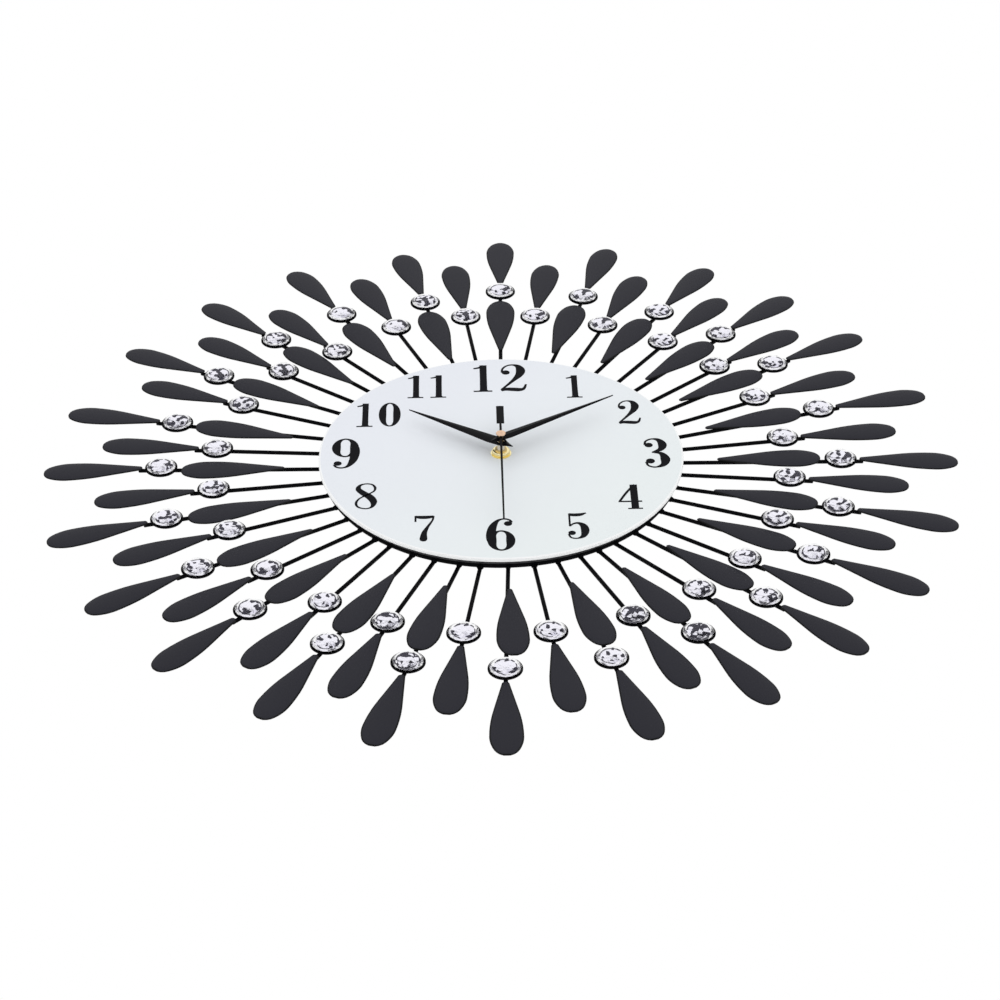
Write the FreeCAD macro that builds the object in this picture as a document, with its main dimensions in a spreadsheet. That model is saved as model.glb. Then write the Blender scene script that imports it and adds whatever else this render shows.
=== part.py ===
import FreeCAD, Part
import Sketcher
import math
import os

# Sunburst wall clock: a glass dial on a steel back plate, 48 welded wire rays
# with teardrops and crystals, and a quartz movement with its whole gear train.
# Every piece is drawn in a lying frame: X right, Y towards 12 o'clock, Z from
# the wall towards the viewer, with the hand arbor on the Z axis and the wall at
# Z = 0. HUNG turns that frame upright and puts the hanger hole at the origin.

doc = FreeCAD.newDocument("SunburstClock")

# ---------------------------------------------------------------- dimensions
DIMENSIONS = [
    ("hang_drop", 68.0, "hanger hole above the arbor"),
    ("glass_radius", 124.0, "dial glass, outside"),
    ("glass_back", 27.0, "back face of the dial glass"),
    ("glass_thick", 3.0, "dial glass"),
    ("glass_hole_r", 4.3, "hole for the threaded bush"),
    ("plate_radius", 120.9, "steel back plate, outside"),
    ("plate_back", 23.8, "back face of the back plate"),
    ("plate_thick", 1.2, "back plate sheet"),
    ("foam_inner_r", 96.0, "foam tape ring, inside"),
    ("foam_outer_r", 112.0, "foam tape ring, outside"),
    ("ring_radius", 119.5, "rim ring, centre line"),
    ("ring_wire_r", 1.9, "rim ring wire"),
    ("ray_wire_r", 1.4, "ray wire"),
    ("ray_start", 121.4, "inner end of every ray wire, on the rim ring"),
    ("ray_level", 21.2, "centre line of the ray wires"),
    ("long_ray_end", 247.0, "outer end of a long ray's wire"),
    ("short_ray_end", 212.0, "outer end of a short ray's wire"),
    ("drop_half_width", 10.5, "teardrop, half of its greatest width"),
    ("drop_cap_r", 8.4, "teardrop, radius of the round end"),
    ("drop_shoulder", 17.0, "round end to greatest width"),
    ("drop_side_r", 108.0, "teardrop, radius of the long sides"),
    ("drop_side_turn", 12.3, "degrees the side turns before it runs straight"),
    ("drop_thick", 1.6, "teardrop sheet"),
    ("inner_drop_tip", 217.8, "round end of the inner teardrops"),
    ("inner_drop_length", 70.5, "inner teardrop"),
    ("long_drop_tip", 311.7, "round end of the long rays' teardrops"),
    ("short_drop_tip", 276.2, "round end of the short rays' teardrops"),
    ("outer_drop_length", 67.6, "outer teardrops"),
    ("long_drop_droop", 2.4, "degrees the long rays' teardrops lean to the wall"),
    ("short_drop_droop", 1.2, "degrees the short rays' teardrops lean to the wall"),
    ("long_crystal_at", 231.4, "crystal centre on a long ray"),
    ("short_crystal_at", 196.0, "crystal centre on a short ray"),
    ("cup_radius", 11.0, "crystal cup, outside"),
    ("cup_height", 1.6, "crystal cup"),
    ("cup_wall", 0.8, "crystal cup wall and floor"),
    ("crystal_table_r", 5.6, "flat top of a crystal"),
    ("crystal_height", 3.8, "crystal above the cup floor"),
    ("post_circle_r", 70.0, "circle of the wall posts"),
    ("post_radius", 4.0, "wall post"),
    ("bumper_radius", 6.0, "rubber bumper"),
    ("bumper_height", 3.0, "rubber bumper"),
    ("post_screw_r", 1.5, "post screw shank"),
    ("hanger_width", 22.0, "hanger strap"),
    ("hanger_thick", 1.5, "hanger strap sheet"),
    ("hanger_hole_r", 4.0, "hole for the wall screw"),
    ("case_half", 28.0, "movement case, half of its side"),
    ("case_front", 22.8, "front face of the movement case"),
    ("case_split", 14.8, "joint between case and cover"),
    ("case_back", 6.8, "back face of the cover"),
    ("case_wall", 1.2, "case wall"),
    ("bush_r", 4.0, "threaded bush, outside"),
    ("bush_bore_r", 2.58, "threaded bush, bore"),
    ("bush_top", 34.0, "front end of the bush"),
    ("nut_radius", 6.0, "round brass nut"),
    ("washer_radius", 7.0, "brass washer"),
    ("hour_pipe_r", 2.5, "hour pipe, outside"),
    ("hour_bore_r", 1.78, "hour pipe, bore"),
    ("minute_pipe_r", 1.7, "minute pipe, outside"),
    ("minute_bore_r", 0.85, "minute pipe, bore"),
    ("second_arbor_r", 0.8, "second arbor"),
    ("hour_hand_z", 39.0, "back face of the hour hand"),
    ("minute_hand_z", 42.8, "back face of the minute hand"),
    ("second_hand_z", 45.0, "back face of the second hand"),
    ("hand_thick", 0.8, "hand sheet"),
    ("hour_hand_length", 76.0, "arbor to tip"),
    ("minute_hand_length", 94.0, "arbor to tip"),
    ("second_hand_length", 99.5, "arbor to tip"),
    ("hour_hand_at", 304.7, "degrees clockwise from 12"),
    ("minute_hand_at", 56.8, "degrees clockwise from 12"),
    ("second_hand_at", 180.0, "degrees clockwise from 12"),
    ("knob_radius", 6.5, "setting knob"),
    ("battery_r", 7.0, "AA cell"),
    ("battery_y", -19.4, "AA cell, centre below the arbor"),
    ("battery_z", 14.5, "AA cell, centre from the wall"),
]

sheet = doc.addObject("Spreadsheet::Sheet", "Dims")
for row, (alias, value, meaning) in enumerate(DIMENSIONS, 1):
    sheet.set(f"A{row}", meaning)
    sheet.set(f"B{row}", str(value))
    sheet.setAlias(f"B{row}", alias)
doc.recompute()

D = {alias: float(sheet.get(alias)) for alias, _, _ in DIMENSIONS}

RAYS_PER_KIND = 24
RAY_PITCH = 360.0 / RAYS_PER_KIND
# The rays are set and welded by hand, so each leans a little off its even
# place, and so does the teardrop on it: degrees clockwise, ray by ray from 12
# o'clock, to the nearest half. One ray of each kind also came out short.
LONG_LEAN = [1, 1.5, 1.5, 0, -1.5, 0, 1, 0.5, 0, -0.5, -1, -1,
             0.5, 0.5, -1, -0.5, -1, -0.5, 0, -1, 0.5, 1, 0.5, 1.5]
INNER_LEAN = [1, 1, 0.5, 0.5, -0.5, 0, 0.5, 0.5, -0.5, -1, -1, -1.5,
              -1, 0, -1, -1, -1.5, -1.5, -1, -1, 0.5, 0.5, 0, 1]
SHORT_LEAN = [1, 1, 0.5, 0, -0.5, 0.5, 0, 0, 0, -1.5, -1.5, -0.5,
              0.5, 0, -1.5, -1, -0.5, -0.5, -1, 1, 1, -0.5, 0.5, 1]
STUNTED_LONG, STUNTED_SHORT, STUNTED_BY = 23, 21, 8.0
# Where each wire meets the rim ring, measured the same way: a wire runs
# straight from here to its leaning end, so it isn't quite radial.
LONG_ROOT = [1, 1.5, 1, 2, 2, 1.5, 1, 0.5, 0, -0.5, -0.5, -1.5,
             -1, -1, -0.5, -1, -1.5, -1.5, -1, 1.5, 1.5, 1.5, 1.5, 1.5]
SHORT_ROOT = [1, 1.5, 2.5, 2.5, 2, 1, 0.5, 0, 0.5, 0.5, -1.5, -1.5,
              0, -0.5, 0.5, -1.5, -1.5, -1.5, 0.5, 1.5, 1.5, 0.5, 0.5, 1]

HUNG = FreeCAD.Placement(
    FreeCAD.Vector(0, 0, -D["hang_drop"]),
    FreeCAD.Rotation(FreeCAD.Vector(1, 0, 0), 90),
)
UP = FreeCAD.Vector(0, 0, 1)
nodes = {}


# ------------------------------------------------------------------- helpers
def vec(x, y, z=0.0):
    return FreeCAD.Vector(x, y, z)


def keep(obj, label):
    """Name a finished sub-part and hang it in the clock's frame."""
    obj.Label = label
    obj.Placement = HUNG
    nodes[label] = obj
    return obj


def with_shape(label, shape):
    obj = doc.addObject("Part::Feature", label)
    obj.Shape = shape
    return keep(obj, label)


def new_body(label):
    return doc.addObject("PartDesign::Body", label)


def base_plane(body, role):
    for item in body.Origin.OriginFeatures:
        if item.Role == role:
            return item
    raise RuntimeError("no plane " + role)


def flat_sketch(body, name, height):
    """A sketch parallel to the dial; height is a spreadsheet expression."""
    sketch = body.newObject("Sketcher::SketchObject", name)
    sketch.AttachmentSupport = [(base_plane(body, "XY_Plane"), "")]
    sketch.MapMode = "FlatFace"
    sketch.setExpression("AttachmentOffset.Base.z", height)
    return sketch


def add_circle(sketch, x, y, radius):
    """A circle whose radius follows a spreadsheet expression."""
    index = sketch.addGeometry(Part.Circle(vec(x, y), UP, 1.0), False)
    constraint = sketch.addConstraint(Sketcher.Constraint("Radius", index, 1.0))
    sketch.setExpression(f"Constraints[{constraint}]", radius)


def pad(body, sketch, length):
    item = body.newObject("PartDesign::Pad", sketch.Name + "Pad")
    item.Profile = sketch
    item.setExpression("Length", length)
    body.Tip = item
    return item


def cut_through(body, sketch):
    item = body.newObject("PartDesign::Pocket", sketch.Name + "Cut")
    item.Profile = sketch
    item.Type = 1
    item.Midplane = True
    body.Tip = item
    return item


def disc_body(label, radius, bottom, thick, hole=None):
    """A round plate on the arbor axis, with a hole through its centre."""
    body = new_body(label)
    outline = flat_sketch(body, label + "Outline", bottom)
    add_circle(outline, 0, 0, radius)
    if hole:
        add_circle(outline, 0, 0, hole)
    pad(body, outline, thick)
    return keep(body, label)


def box(x0, x1, y0, y1, z0, z1):
    return Part.makeBox(x1 - x0, y1 - y0, z1 - z0, vec(x0, y0, z0))


def rod(x, y, radius, z0, z1):
    return Part.makeCylinder(radius, z1 - z0, vec(x, y, z0), UP)


def tube(x, y, outer, inner, z0, z1):
    return rod(x, y, outer, z0, z1).cut(rod(x, y, inner, z0, z1))


def joined(*shapes):
    return shapes[0].multiFuse(list(shapes[1:])).removeSplitter()


def lathe(profile, x=0.0, y=0.0):
    """Turn a closed outline of (radius, height) points about an upright axis."""
    points = [vec(x + r, y, z) for r, z in profile]
    face = Part.Face(Part.makePolygon(points + points[:1]))
    return face.revolve(vec(x, y), UP, 360)


def turned_clockwise(shape, degrees):
    copy = shape.copy()
    copy.rotate(vec(0, 0), UP, -degrees)
    return copy


def ray_angles(leans, first):
    return [first + RAY_PITCH * i + lean for i, lean in enumerate(leans)]


LONG_RAYS = ray_angles(LONG_LEAN, 0.0)
INNER_RAYS = ray_angles(INNER_LEAN, 0.0)
SHORT_RAYS = ray_angles(SHORT_LEAN, RAY_PITCH / 2)
LONG_ROOTS = ray_angles(LONG_ROOT, 0.0)
SHORT_ROOTS = ray_angles(SHORT_ROOT, RAY_PITCH / 2)


def on_rays(label, piece, angles, stunted=None):
    """One separate solid of a piece on each ray; the stunted ray's is set further in."""
    placed = []
    for ray, angle in enumerate(angles):
        copy = piece.copy()
        if ray == stunted:
            copy.translate(vec(0, -STUNTED_BY))
        placed.append(turned_clockwise(copy, angle))
    return with_shape(label, Part.makeCompound(placed))


# ---------------------------------------------------------- dial and its rim
def make_dial():
    glass = disc_body("dial_glass", "Dims.glass_radius", "Dims.glass_back",
                      "Dims.glass_thick", "Dims.glass_hole_r")
    doc.recompute()
    disc = glass.Tip
    front = D["glass_back"] + D["glass_thick"]
    rim = [f"Edge{i}" for i, e in enumerate(disc.Shape.Edges, 1)
           if e.Length > 600 and abs(e.CenterOfMass.z - front) < 0.01]
    bevel = glass.newObject("PartDesign::Chamfer", "GlassBevel")
    bevel.Base = (disc, rim)
    bevel.Size = 0.8
    glass.Tip = bevel
    disc_body("dial_foam_ring", "Dims.foam_outer_r", "Dims.plate_back + Dims.plate_thick",
              "Dims.glass_back - Dims.plate_back - Dims.plate_thick", "Dims.foam_inner_r")


def post_places():
    """Three posts: straight below the arbor and to either side above it."""
    return [(D["post_circle_r"] * math.sin(math.radians(a)),
             D["post_circle_r"] * math.cos(math.radians(a))) for a in (180, 60, 300)]


HANGER_RIVETS = [(-6.5, 42.0), (6.5, 42.0)]


def make_back_plate():
    plate = disc_body("back_plate", "Dims.plate_radius", "Dims.plate_back",
                      "Dims.plate_thick", "Dims.glass_hole_r")
    holes = flat_sketch(plate, "PlateHoles", "Dims.plate_back")
    for x, y in post_places() + HANGER_RIVETS:
        add_circle(holes, x, y, "Dims.post_screw_r")
    cut_through(plate, holes)


def make_rim_ring():
    ring = doc.addObject("Part::Torus", "rim_ring")
    ring.setExpression("Radius1", "Dims.ring_radius")
    ring.setExpression("Radius2", "Dims.ring_wire_r")
    keep(ring, "rim_ring")
    lift = FreeCAD.Placement(vec(0, 0, D["plate_back"] - D["ring_wire_r"]), FreeCAD.Rotation())
    ring.Placement = HUNG.multiply(lift)


# ---------------------------------------------------------------------- rays
def at_ray(radius, angle):
    """Point on the wires' level at a radius and an angle clockwise from 12."""
    a = math.radians(angle)
    return vec(radius * math.sin(a), radius * math.cos(a), D["ray_level"])


def ray_wire(root, angle, reach):
    """Straight wire from the rim ring to its end; a slanting one starts clear by its corner."""
    run = at_ray(reach, angle) - at_ray(D["ray_start"], root)
    slant = run.getAngle(at_ray(1.0, root) - at_ray(0.0, root))
    start = at_ray(D["ray_start"] + D["ray_wire_r"] * math.sin(slant), root)
    run = at_ray(reach, angle) - start
    return Part.makeCylinder(D["ray_wire_r"], run.Length, start, run)


def make_wires():
    for label, end, roots, angles, stunted in (
            ("long_ray_wires", "long_ray_end", LONG_ROOTS, LONG_RAYS, STUNTED_LONG),
            ("short_ray_wires", "short_ray_end", SHORT_ROOTS, SHORT_RAYS, STUNTED_SHORT)):
        wires = []
        for ray, (root, angle) in enumerate(zip(roots, angles)):
            reach = D[end] - (STUNTED_BY if ray == stunted else 0)
            wires.append(ray_wire(root, angle, reach))
        with_shape(label, Part.makeCompound(wires))


def arc_about(cx, cy, radius, start, end):
    """Arc of a circle from one direction to another, in degrees."""
    middle = (start + end) / 2
    points = [vec(cx + radius * math.cos(math.radians(a)), cy + radius * math.sin(math.radians(a)))
              for a in (start, middle, end)]
    return Part.Arc(*points)


def half_drop(tip, length):
    """Right half of a teardrop's outline, from the round end to the neck.

    The round end is a small arc on the ray, then a wide shoulder arc, then a
    long side arc that turns inwards and runs straight to the neck.
    """
    wide, cap = D["drop_half_width"], D["drop_cap_r"]
    down = D["drop_shoulder"]
    shoulder = (wide ** 2 + (down - cap) ** 2 - cap ** 2) / (2 * (wide - cap))
    meet = math.degrees(math.atan2(down - cap, shoulder - wide))
    side, turn = D["drop_side_r"], D["drop_side_turn"]
    cap_arc = arc_about(0, tip - cap, cap, 90, meet)
    shoulder_arc = arc_about(wide - shoulder, tip - down, shoulder, meet, 0)
    side_arc = arc_about(wide - side, tip - down, side, 0, -turn)
    corner = side_arc.EndPoint
    fall = corner.y - (tip - length)
    neck = vec(corner.x - fall * math.tan(math.radians(turn)), tip - length)
    return [cap_arc, shoulder_arc, side_arc, Part.LineSegment(corner, neck)]


def on_wires():
    """Height at which the teardrops and cups rest on their wires."""
    return D["ray_level"] + D["ray_wire_r"]


def drop_solid(tip, length):
    right = [part.toShape() for part in half_drop(tip, length)]
    left = [edge.mirror(vec(0, 0), vec(1, 0, 0)) for edge in right]
    neck = right[-1].Vertexes[-1].Point
    end = Part.LineSegment(vec(neck.x, neck.y), vec(-neck.x, neck.y)).toShape()
    outline = Part.Wire(Part.__sortEdges__(right + left + [end]))
    sheet_metal = Part.Face(outline).extrude(vec(0, 0, D["drop_thick"]))
    sheet_metal.translate(vec(0, 0, on_wires()))
    return sheet_metal


def drooped(drop, wire_end, degrees):
    """Lean a teardrop towards the wall about the end of its wire."""
    drop.rotate(vec(0, wire_end, on_wires()), vec(1, 0, 0), -degrees)
    return drop


def make_drops():
    inner = drop_solid(D["inner_drop_tip"], D["inner_drop_length"])
    on_rays("inner_drops", inner, INNER_RAYS, STUNTED_LONG)
    long_outer = drop_solid(D["long_drop_tip"], D["outer_drop_length"])
    long_outer = drooped(long_outer, D["long_ray_end"], D["long_drop_droop"])
    on_rays("long_outer_drops", long_outer, LONG_RAYS, STUNTED_LONG)
    short_outer = drop_solid(D["short_drop_tip"], D["outer_drop_length"])
    short_outer = drooped(short_outer, D["short_ray_end"], D["short_drop_droop"])
    on_rays("short_outer_drops", short_outer, SHORT_RAYS, STUNTED_SHORT)


def cup_solid(at):
    floor, wall = on_wires(), D["cup_wall"]
    top, radius = floor + D["cup_height"], D["cup_radius"]
    profile = [(0, floor), (radius, floor), (radius, top), (radius - wall, top),
               (radius - wall, floor + wall), (0, floor + wall)]
    return lathe(profile, 0, at)


def crystal_solid(at):
    floor = on_wires() + D["cup_wall"]
    radius, height = D["cup_radius"] - D["cup_wall"], D["crystal_height"]
    profile = [(0, floor), (radius - 1.2, floor), (radius, floor + 0.6), (radius, floor + 1.6),
               (D["crystal_table_r"], floor + height), (0, floor + height)]
    return lathe(profile, 0, at)


def make_crystals():
    for kind, at, angles, stunted in (("long", D["long_crystal_at"], LONG_RAYS, STUNTED_LONG),
                                      ("short", D["short_crystal_at"], SHORT_RAYS, STUNTED_SHORT)):
        on_rays(kind + "_ray_cups", cup_solid(at), angles, stunted)
        on_rays(kind + "_ray_crystals", crystal_solid(at), angles, stunted)


# --------------------------------------------------------- hanging on a wall
def make_posts():
    posts, bumpers, screws = [], [], []
    back, face = D["plate_back"], D["plate_back"] + D["plate_thick"]
    height, shank = D["bumper_height"], D["post_screw_r"]
    for x, y in post_places():
        body = rod(x, y, D["post_radius"], height, back)
        posts.append(body.cut(rod(x, y, shank, back - 9, back)))
        bumpers.append(rod(x, y, D["bumper_radius"], 0, height))
        screws.append(joined(rod(x, y, shank, back - 8, face), rod(x, y, 2.8, face, face + 1.5)))
    with_shape("wall_posts", Part.makeCompound(posts))
    with_shape("wall_bumpers", Part.makeCompound(bumpers))
    with_shape("post_screws", Part.makeCompound(screws))


def make_hanger():
    half, thick, back = D["hanger_width"] / 2, D["hanger_thick"], D["plate_back"]
    bend = D["hang_drop"] - 16
    foot = box(-half, half, 35, bend, back - thick, back)
    riser = box(-half, half, bend - thick, bend, 0, back)
    flange = box(-half, half, bend - thick, D["hang_drop"] + 9, 0, thick)
    strap = joined(foot, riser, flange)
    strap = strap.cut(rod(0, D["hang_drop"], D["hanger_hole_r"], 0, thick))
    face = back + D["plate_thick"]
    rivets = []
    for x, y in HANGER_RIVETS:
        strap = strap.cut(rod(x, y, D["post_screw_r"], back - thick, back))
        shank = rod(x, y, D["post_screw_r"], back - thick, face)
        rivets.append(joined(shank, rod(x, y, 2.6, face, face + 0.9),
                             rod(x, y, 2.6, back - thick - 1.0, back - thick)))
    with_shape("hanger_strap", strap)
    with_shape("hanger_rivets", Part.makeCompound(rivets))


# --------------------------------------------------------------- gear wheels
# Places of the arbors beside the centre, and the tooth counts. The rotor makes
# 30 turns for one of the second arbor, which makes 60 for one of the minute
# pipe, which makes 12 for one of the hour wheel.
def polar(distance, degrees, origin=(0.0, 0.0)):
    turn = math.radians(degrees)
    return (origin[0] + distance * math.cos(turn), origin[1] + distance * math.sin(turn))


MOD_SECOND = 0.35
MOD_ROTOR = 0.40
MOD_THIRD = 0.30
MOD_CENTRE = MOD_THIRD * (60 + 8) / (64 + 8)
MOD_MOTION = 0.35
THIRD_AT = polar(MOD_THIRD * (60 + 8) / 2, 30)
INTER_AT = polar(MOD_SECOND * (48 + 8) / 2, 115)
ROTOR_AT = polar(MOD_ROTOR * (30 + 6) / 2, 100, INTER_AT)
SETTING_AT = polar(MOD_MOTION * (15 + 45) / 2, 180)
BACKLASH = 0.16


def gear_points(teeth, module):
    """One tooth's outline: (radius, half angle) up the flank, 20 degree involute."""
    pitch = teeth * module / 2
    base = pitch * math.cos(math.radians(20))
    half = math.pi / (2 * teeth) - BACKLASH * module / pitch
    flank = []
    root, tip = pitch - 1.2 * module, pitch + 0.72 * module
    for radius in (root, max(base, root + 0.05 * module), pitch, (pitch + tip) / 2, tip):
        open_angle = math.acos(min(1.0, base / radius))
        roll = math.tan(open_angle) - open_angle
        at_pitch = math.tan(math.radians(20)) - math.radians(20)
        flank.append((radius, half + at_pitch - roll))
    return flank


def gear_outline(teeth, module, phase):
    """Closed outline of a spur gear; phase is the angle of one tooth's centre."""
    flank = gear_points(teeth, module)
    points = []
    for tooth in range(teeth):
        centre = phase + 2 * math.pi * tooth / teeth
        for radius, half in flank:
            points.append((radius * math.cos(centre - half), radius * math.sin(centre - half)))
        for radius, half in reversed(flank):
            points.append((radius * math.cos(centre + half), radius * math.sin(centre + half)))
    return points


def gear(teeth, module, phase, at, z0, z1):
    outline = [vec(at[0] + x, at[1] + y, z0) for x, y in gear_outline(teeth, module, phase)]
    return Part.Face(Part.makePolygon(outline + outline[:1])).extrude(vec(0, 0, z1 - z0))


def mesh_phase(teeth_a, phase_a, at_a, teeth_b, at_b):
    """Phase of gear b that puts a gap where gear a has a tooth, on the line of centres."""
    toward = math.atan2(at_b[1] - at_a[1], at_b[0] - at_a[0])
    along_a = teeth_a * (toward - phase_a) / (2 * math.pi)
    along_b = 0.5 - along_a
    return toward + math.pi - 2 * math.pi * along_b / teeth_b


def bored(shape, at, radius, z0, z1):
    return shape.cut(rod(at[0], at[1], radius, z0, z1))


def make_gear_train():
    centre = (0.0, 0.0)
    bore = D["second_arbor_r"]
    wheel = joined(gear(48, MOD_SECOND, 0.0, centre, 10.4, 11.2),
                   gear(8, MOD_THIRD, 0.0, centre, 11.2, 13.8))
    with_shape("second_wheel", bored(wheel, centre, bore, 10, 14))

    phase = mesh_phase(48, 0.0, centre, 8, INTER_AT)
    with_shape("intermediate_wheel", joined(
        gear(8, MOD_SECOND, phase, INTER_AT, 10.0, 13.8),
        gear(30, MOD_ROTOR, 0.0, INTER_AT, 13.8, 14.6),
        rod(*INTER_AT, 0.45, 8.7, 20.0)))

    phase = mesh_phase(30, 0.0, INTER_AT, 6, ROTOR_AT)
    with_shape("rotor_pinion", joined(
        gear(6, MOD_ROTOR, phase, ROTOR_AT, 13.3, 15.2),
        rod(*ROTOR_AT, 0.4, 8.7, 20.0)))
    with_shape("rotor_magnet", tube(*ROTOR_AT, 2.8, 0.4, 10.3, 13.3))

    phase = mesh_phase(8, 0.0, centre, 60, THIRD_AT)
    with_shape("third_wheel", joined(
        gear(60, MOD_THIRD, phase, THIRD_AT, 12.4, 13.2),
        gear(8, MOD_CENTRE, 0.0, THIRD_AT, 13.2, 17.0),
        rod(*THIRD_AT, 0.5, 8.7, 20.0)))

    phase = mesh_phase(8, 0.0, THIRD_AT, 64, centre)
    wheel = gear(64, MOD_CENTRE, phase, centre, 15.8, 16.6)
    with_shape("centre_wheel", bored(wheel, centre, D["minute_pipe_r"], 15, 17))


def make_motion_work():
    centre = (0.0, 0.0)
    top = D["minute_hand_z"] + D["hand_thick"]
    pipe = joined(rod(0, 0, D["minute_pipe_r"], 15.4, top),
                  gear(15, MOD_MOTION, 0.0, centre, 17.4, 18.9))
    with_shape("minute_pipe", bored(pipe, centre, D["minute_bore_r"], 15, top))

    phase = mesh_phase(15, 0.0, centre, 45, SETTING_AT)
    with_shape("setting_wheel", joined(
        gear(45, MOD_MOTION, phase, SETTING_AT, 17.6, 18.6),
        gear(12, MOD_MOTION, 0.0, SETTING_AT, 18.6, 20.7),
        rod(*SETTING_AT, 0.8, 3.6, 21.9)))
    phase = mesh_phase(12, 0.0, SETTING_AT, 48, centre)
    top = D["hour_hand_z"] + D["hand_thick"]
    hour = joined(gear(48, MOD_MOTION, phase, centre, 19.6, 20.7),
                  rod(0, 0, D["hour_pipe_r"], 19.6, top))
    with_shape("hour_wheel", bored(hour, centre, D["hour_bore_r"], 19, top))

    knob = rod(*SETTING_AT, D["knob_radius"], 2.6, 6.2)
    with_shape("setting_knob", bored(knob, SETTING_AT, 0.8, 3.6, 6.2))
    with_shape("second_arbor", rod(0, 0, D["second_arbor_r"], 8.7, D["second_hand_z"] + 1.2))


# ------------------------------------------------------------------ movement
def make_case():
    half, wall = D["case_half"], D["case_wall"]
    inside = half - wall
    front, split, back = D["case_front"], D["case_split"], D["case_back"]
    shell = box(-half, half, -half, half, split, front)
    shell = shell.cut(box(-inside, inside, -inside, inside, split, front - wall))
    divider = box(-inside, inside, -12.2, -11.2, split, front - wall)
    shell = joined(shell, divider, rod(0, 0, D["bush_r"], front - wall, D["bush_top"]),
                   rod(*THIRD_AT, 1.3, 18.6, front - wall), rod(*INTER_AT, 0.95, 18.2, front - wall),
                   rod(*ROTOR_AT, 1.4, 18.2, front - wall), rod(*SETTING_AT, 1.6, 21.0, front - wall))
    shell = shell.cut(rod(0, 0, D["bush_bore_r"], 18, D["bush_top"]))
    shell = shell.cut(rod(*THIRD_AT, 0.55, 18, 20.2))
    shell = shell.cut(rod(*INTER_AT, 0.5, 18, 20.2))
    shell = shell.cut(rod(*ROTOR_AT, 0.45, 18, 20.2))
    shell = shell.cut(rod(*SETTING_AT, 0.86, 20.8, 22.1))
    with_shape("movement_case", shell)

    cover = box(-half, half, -half, half, back, split)
    cover = cover.cut(box(-inside, inside, -inside, inside, back + wall, split))
    floor = back + wall
    cover = joined(cover, box(-inside, inside, -12.2, -11.2, floor, split),
                   rod(0, 0, 1.8, floor, 9.8), rod(*THIRD_AT, 1.3, floor, 9.6),
                   rod(*INTER_AT, 1.3, floor, 9.6), rod(*ROTOR_AT, 1.3, floor, 9.6),
                   rod(*SETTING_AT, 1.9, floor, 9.6))
    cover = cover.cut(rod(0, 0, D["second_arbor_r"] + 0.06, 8.6, 10))
    cover = cover.cut(rod(*THIRD_AT, 0.55, 8.6, 10))
    cover = cover.cut(rod(*INTER_AT, 0.5, 8.6, 10))
    cover = cover.cut(rod(*ROTOR_AT, 0.45, 8.6, 10))
    cover = cover.cut(rod(*SETTING_AT, 0.86, back, 10))
    cover = cover.cut(box(-25.6, 25.6, -inside, -12.2, back, floor))
    with_shape("movement_cover", cover)


def make_clamp():
    """The bush passes the washers, the plate and the glass; the nut holds them."""
    case_front, back = D["case_front"], D["plate_back"]
    glass_front = D["glass_back"] + D["glass_thick"]
    disc_body("rubber_washer", "Dims.nut_radius + 3", "Dims.case_front",
              "Dims.plate_back - Dims.case_front", "Dims.bush_r")
    disc_body("brass_washer", "Dims.washer_radius", "Dims.glass_back + Dims.glass_thick",
              "0.6", "Dims.bush_r")
    nut = tube(0, 0, D["nut_radius"], D["bush_r"], glass_front + 0.6, glass_front + 3.2)
    slots = [turned_clockwise(box(-0.7, 0.7, 5.1, 8, glass_front + 1.6, glass_front + 4), a)
             for a in (45, 135, 225, 315)]
    with_shape("bush_nut", nut.cut(Part.makeCompound(slots)))


def make_electrics():
    x, y = ROTOR_AT
    plate = joined(box(-12, 1.4, 11.8, 20.2, 11.2, 12.2), box(-12, -8.6, 20.2, 26, 11.2, 12.2),
                   box(1.4, 16, 15.6, 18.4, 11.2, 12.2), box(12.6, 16, 18.4, 26, 11.2, 12.2))
    with_shape("stator", bored(plate, ROTOR_AT, 3.3, 11, 13))
    core = box(-12, 16, 22.0, 24.8, 12.2, 13.2)
    with_shape("coil_core", core)
    flanges = joined(box(-7.6, -6.8, 20.3, 26.5, 9.6, 15.8), box(10.8, 11.6, 20.3, 26.5, 9.6, 15.8),
                     box(-7.6, 11.6, 21.6, 25.2, 11.8, 13.6))
    with_shape("coil_bobbin", flanges.cut(core))
    winding = Part.makeCylinder(3.0, 17.6, vec(-6.8, 23.4, 12.7), vec(1, 0, 0))
    with_shape("coil_winding", winding.cut(box(-7.6, 11.6, 21.6, 25.2, 11.8, 13.6)))

    with_shape("circuit_board", box(-1.5, 26.2, 11.0, 26.2, 17.8, 18.6))
    with_shape("clock_chip", joined(rod(6, 20, 3.2, 16.8, 17.8), rod(6, 20, 2.2, 16.6, 16.8)))
    with_shape("quartz_can", Part.makeCylinder(1.0, 6.0, vec(22, 17.5, 16.8), vec(0, 1, 0)))


def make_battery():
    y, z, radius = D["battery_y"], D["battery_z"], D["battery_r"]
    along = vec(1, 0, 0)
    cell = joined(Part.makeCylinder(radius, 49.0, vec(-24.8, y, z), along),
                  Part.makeCylinder(2.6, 1.2, vec(24.2, y, z), along))
    with_shape("battery", cell)
    spring = Part.makeCone(4.2, 2.4, 1.5, vec(-26.3, y, z), along)
    minus = joined(box(-26.7, -26.3, y - 5, y + 5, z - 5, z + 5), spring)
    plus = box(25.4, 25.9, y - 5, y + 5, z - 5, z + 5)
    with_shape("battery_contacts", Part.makeCompound([minus, plus]))


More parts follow.
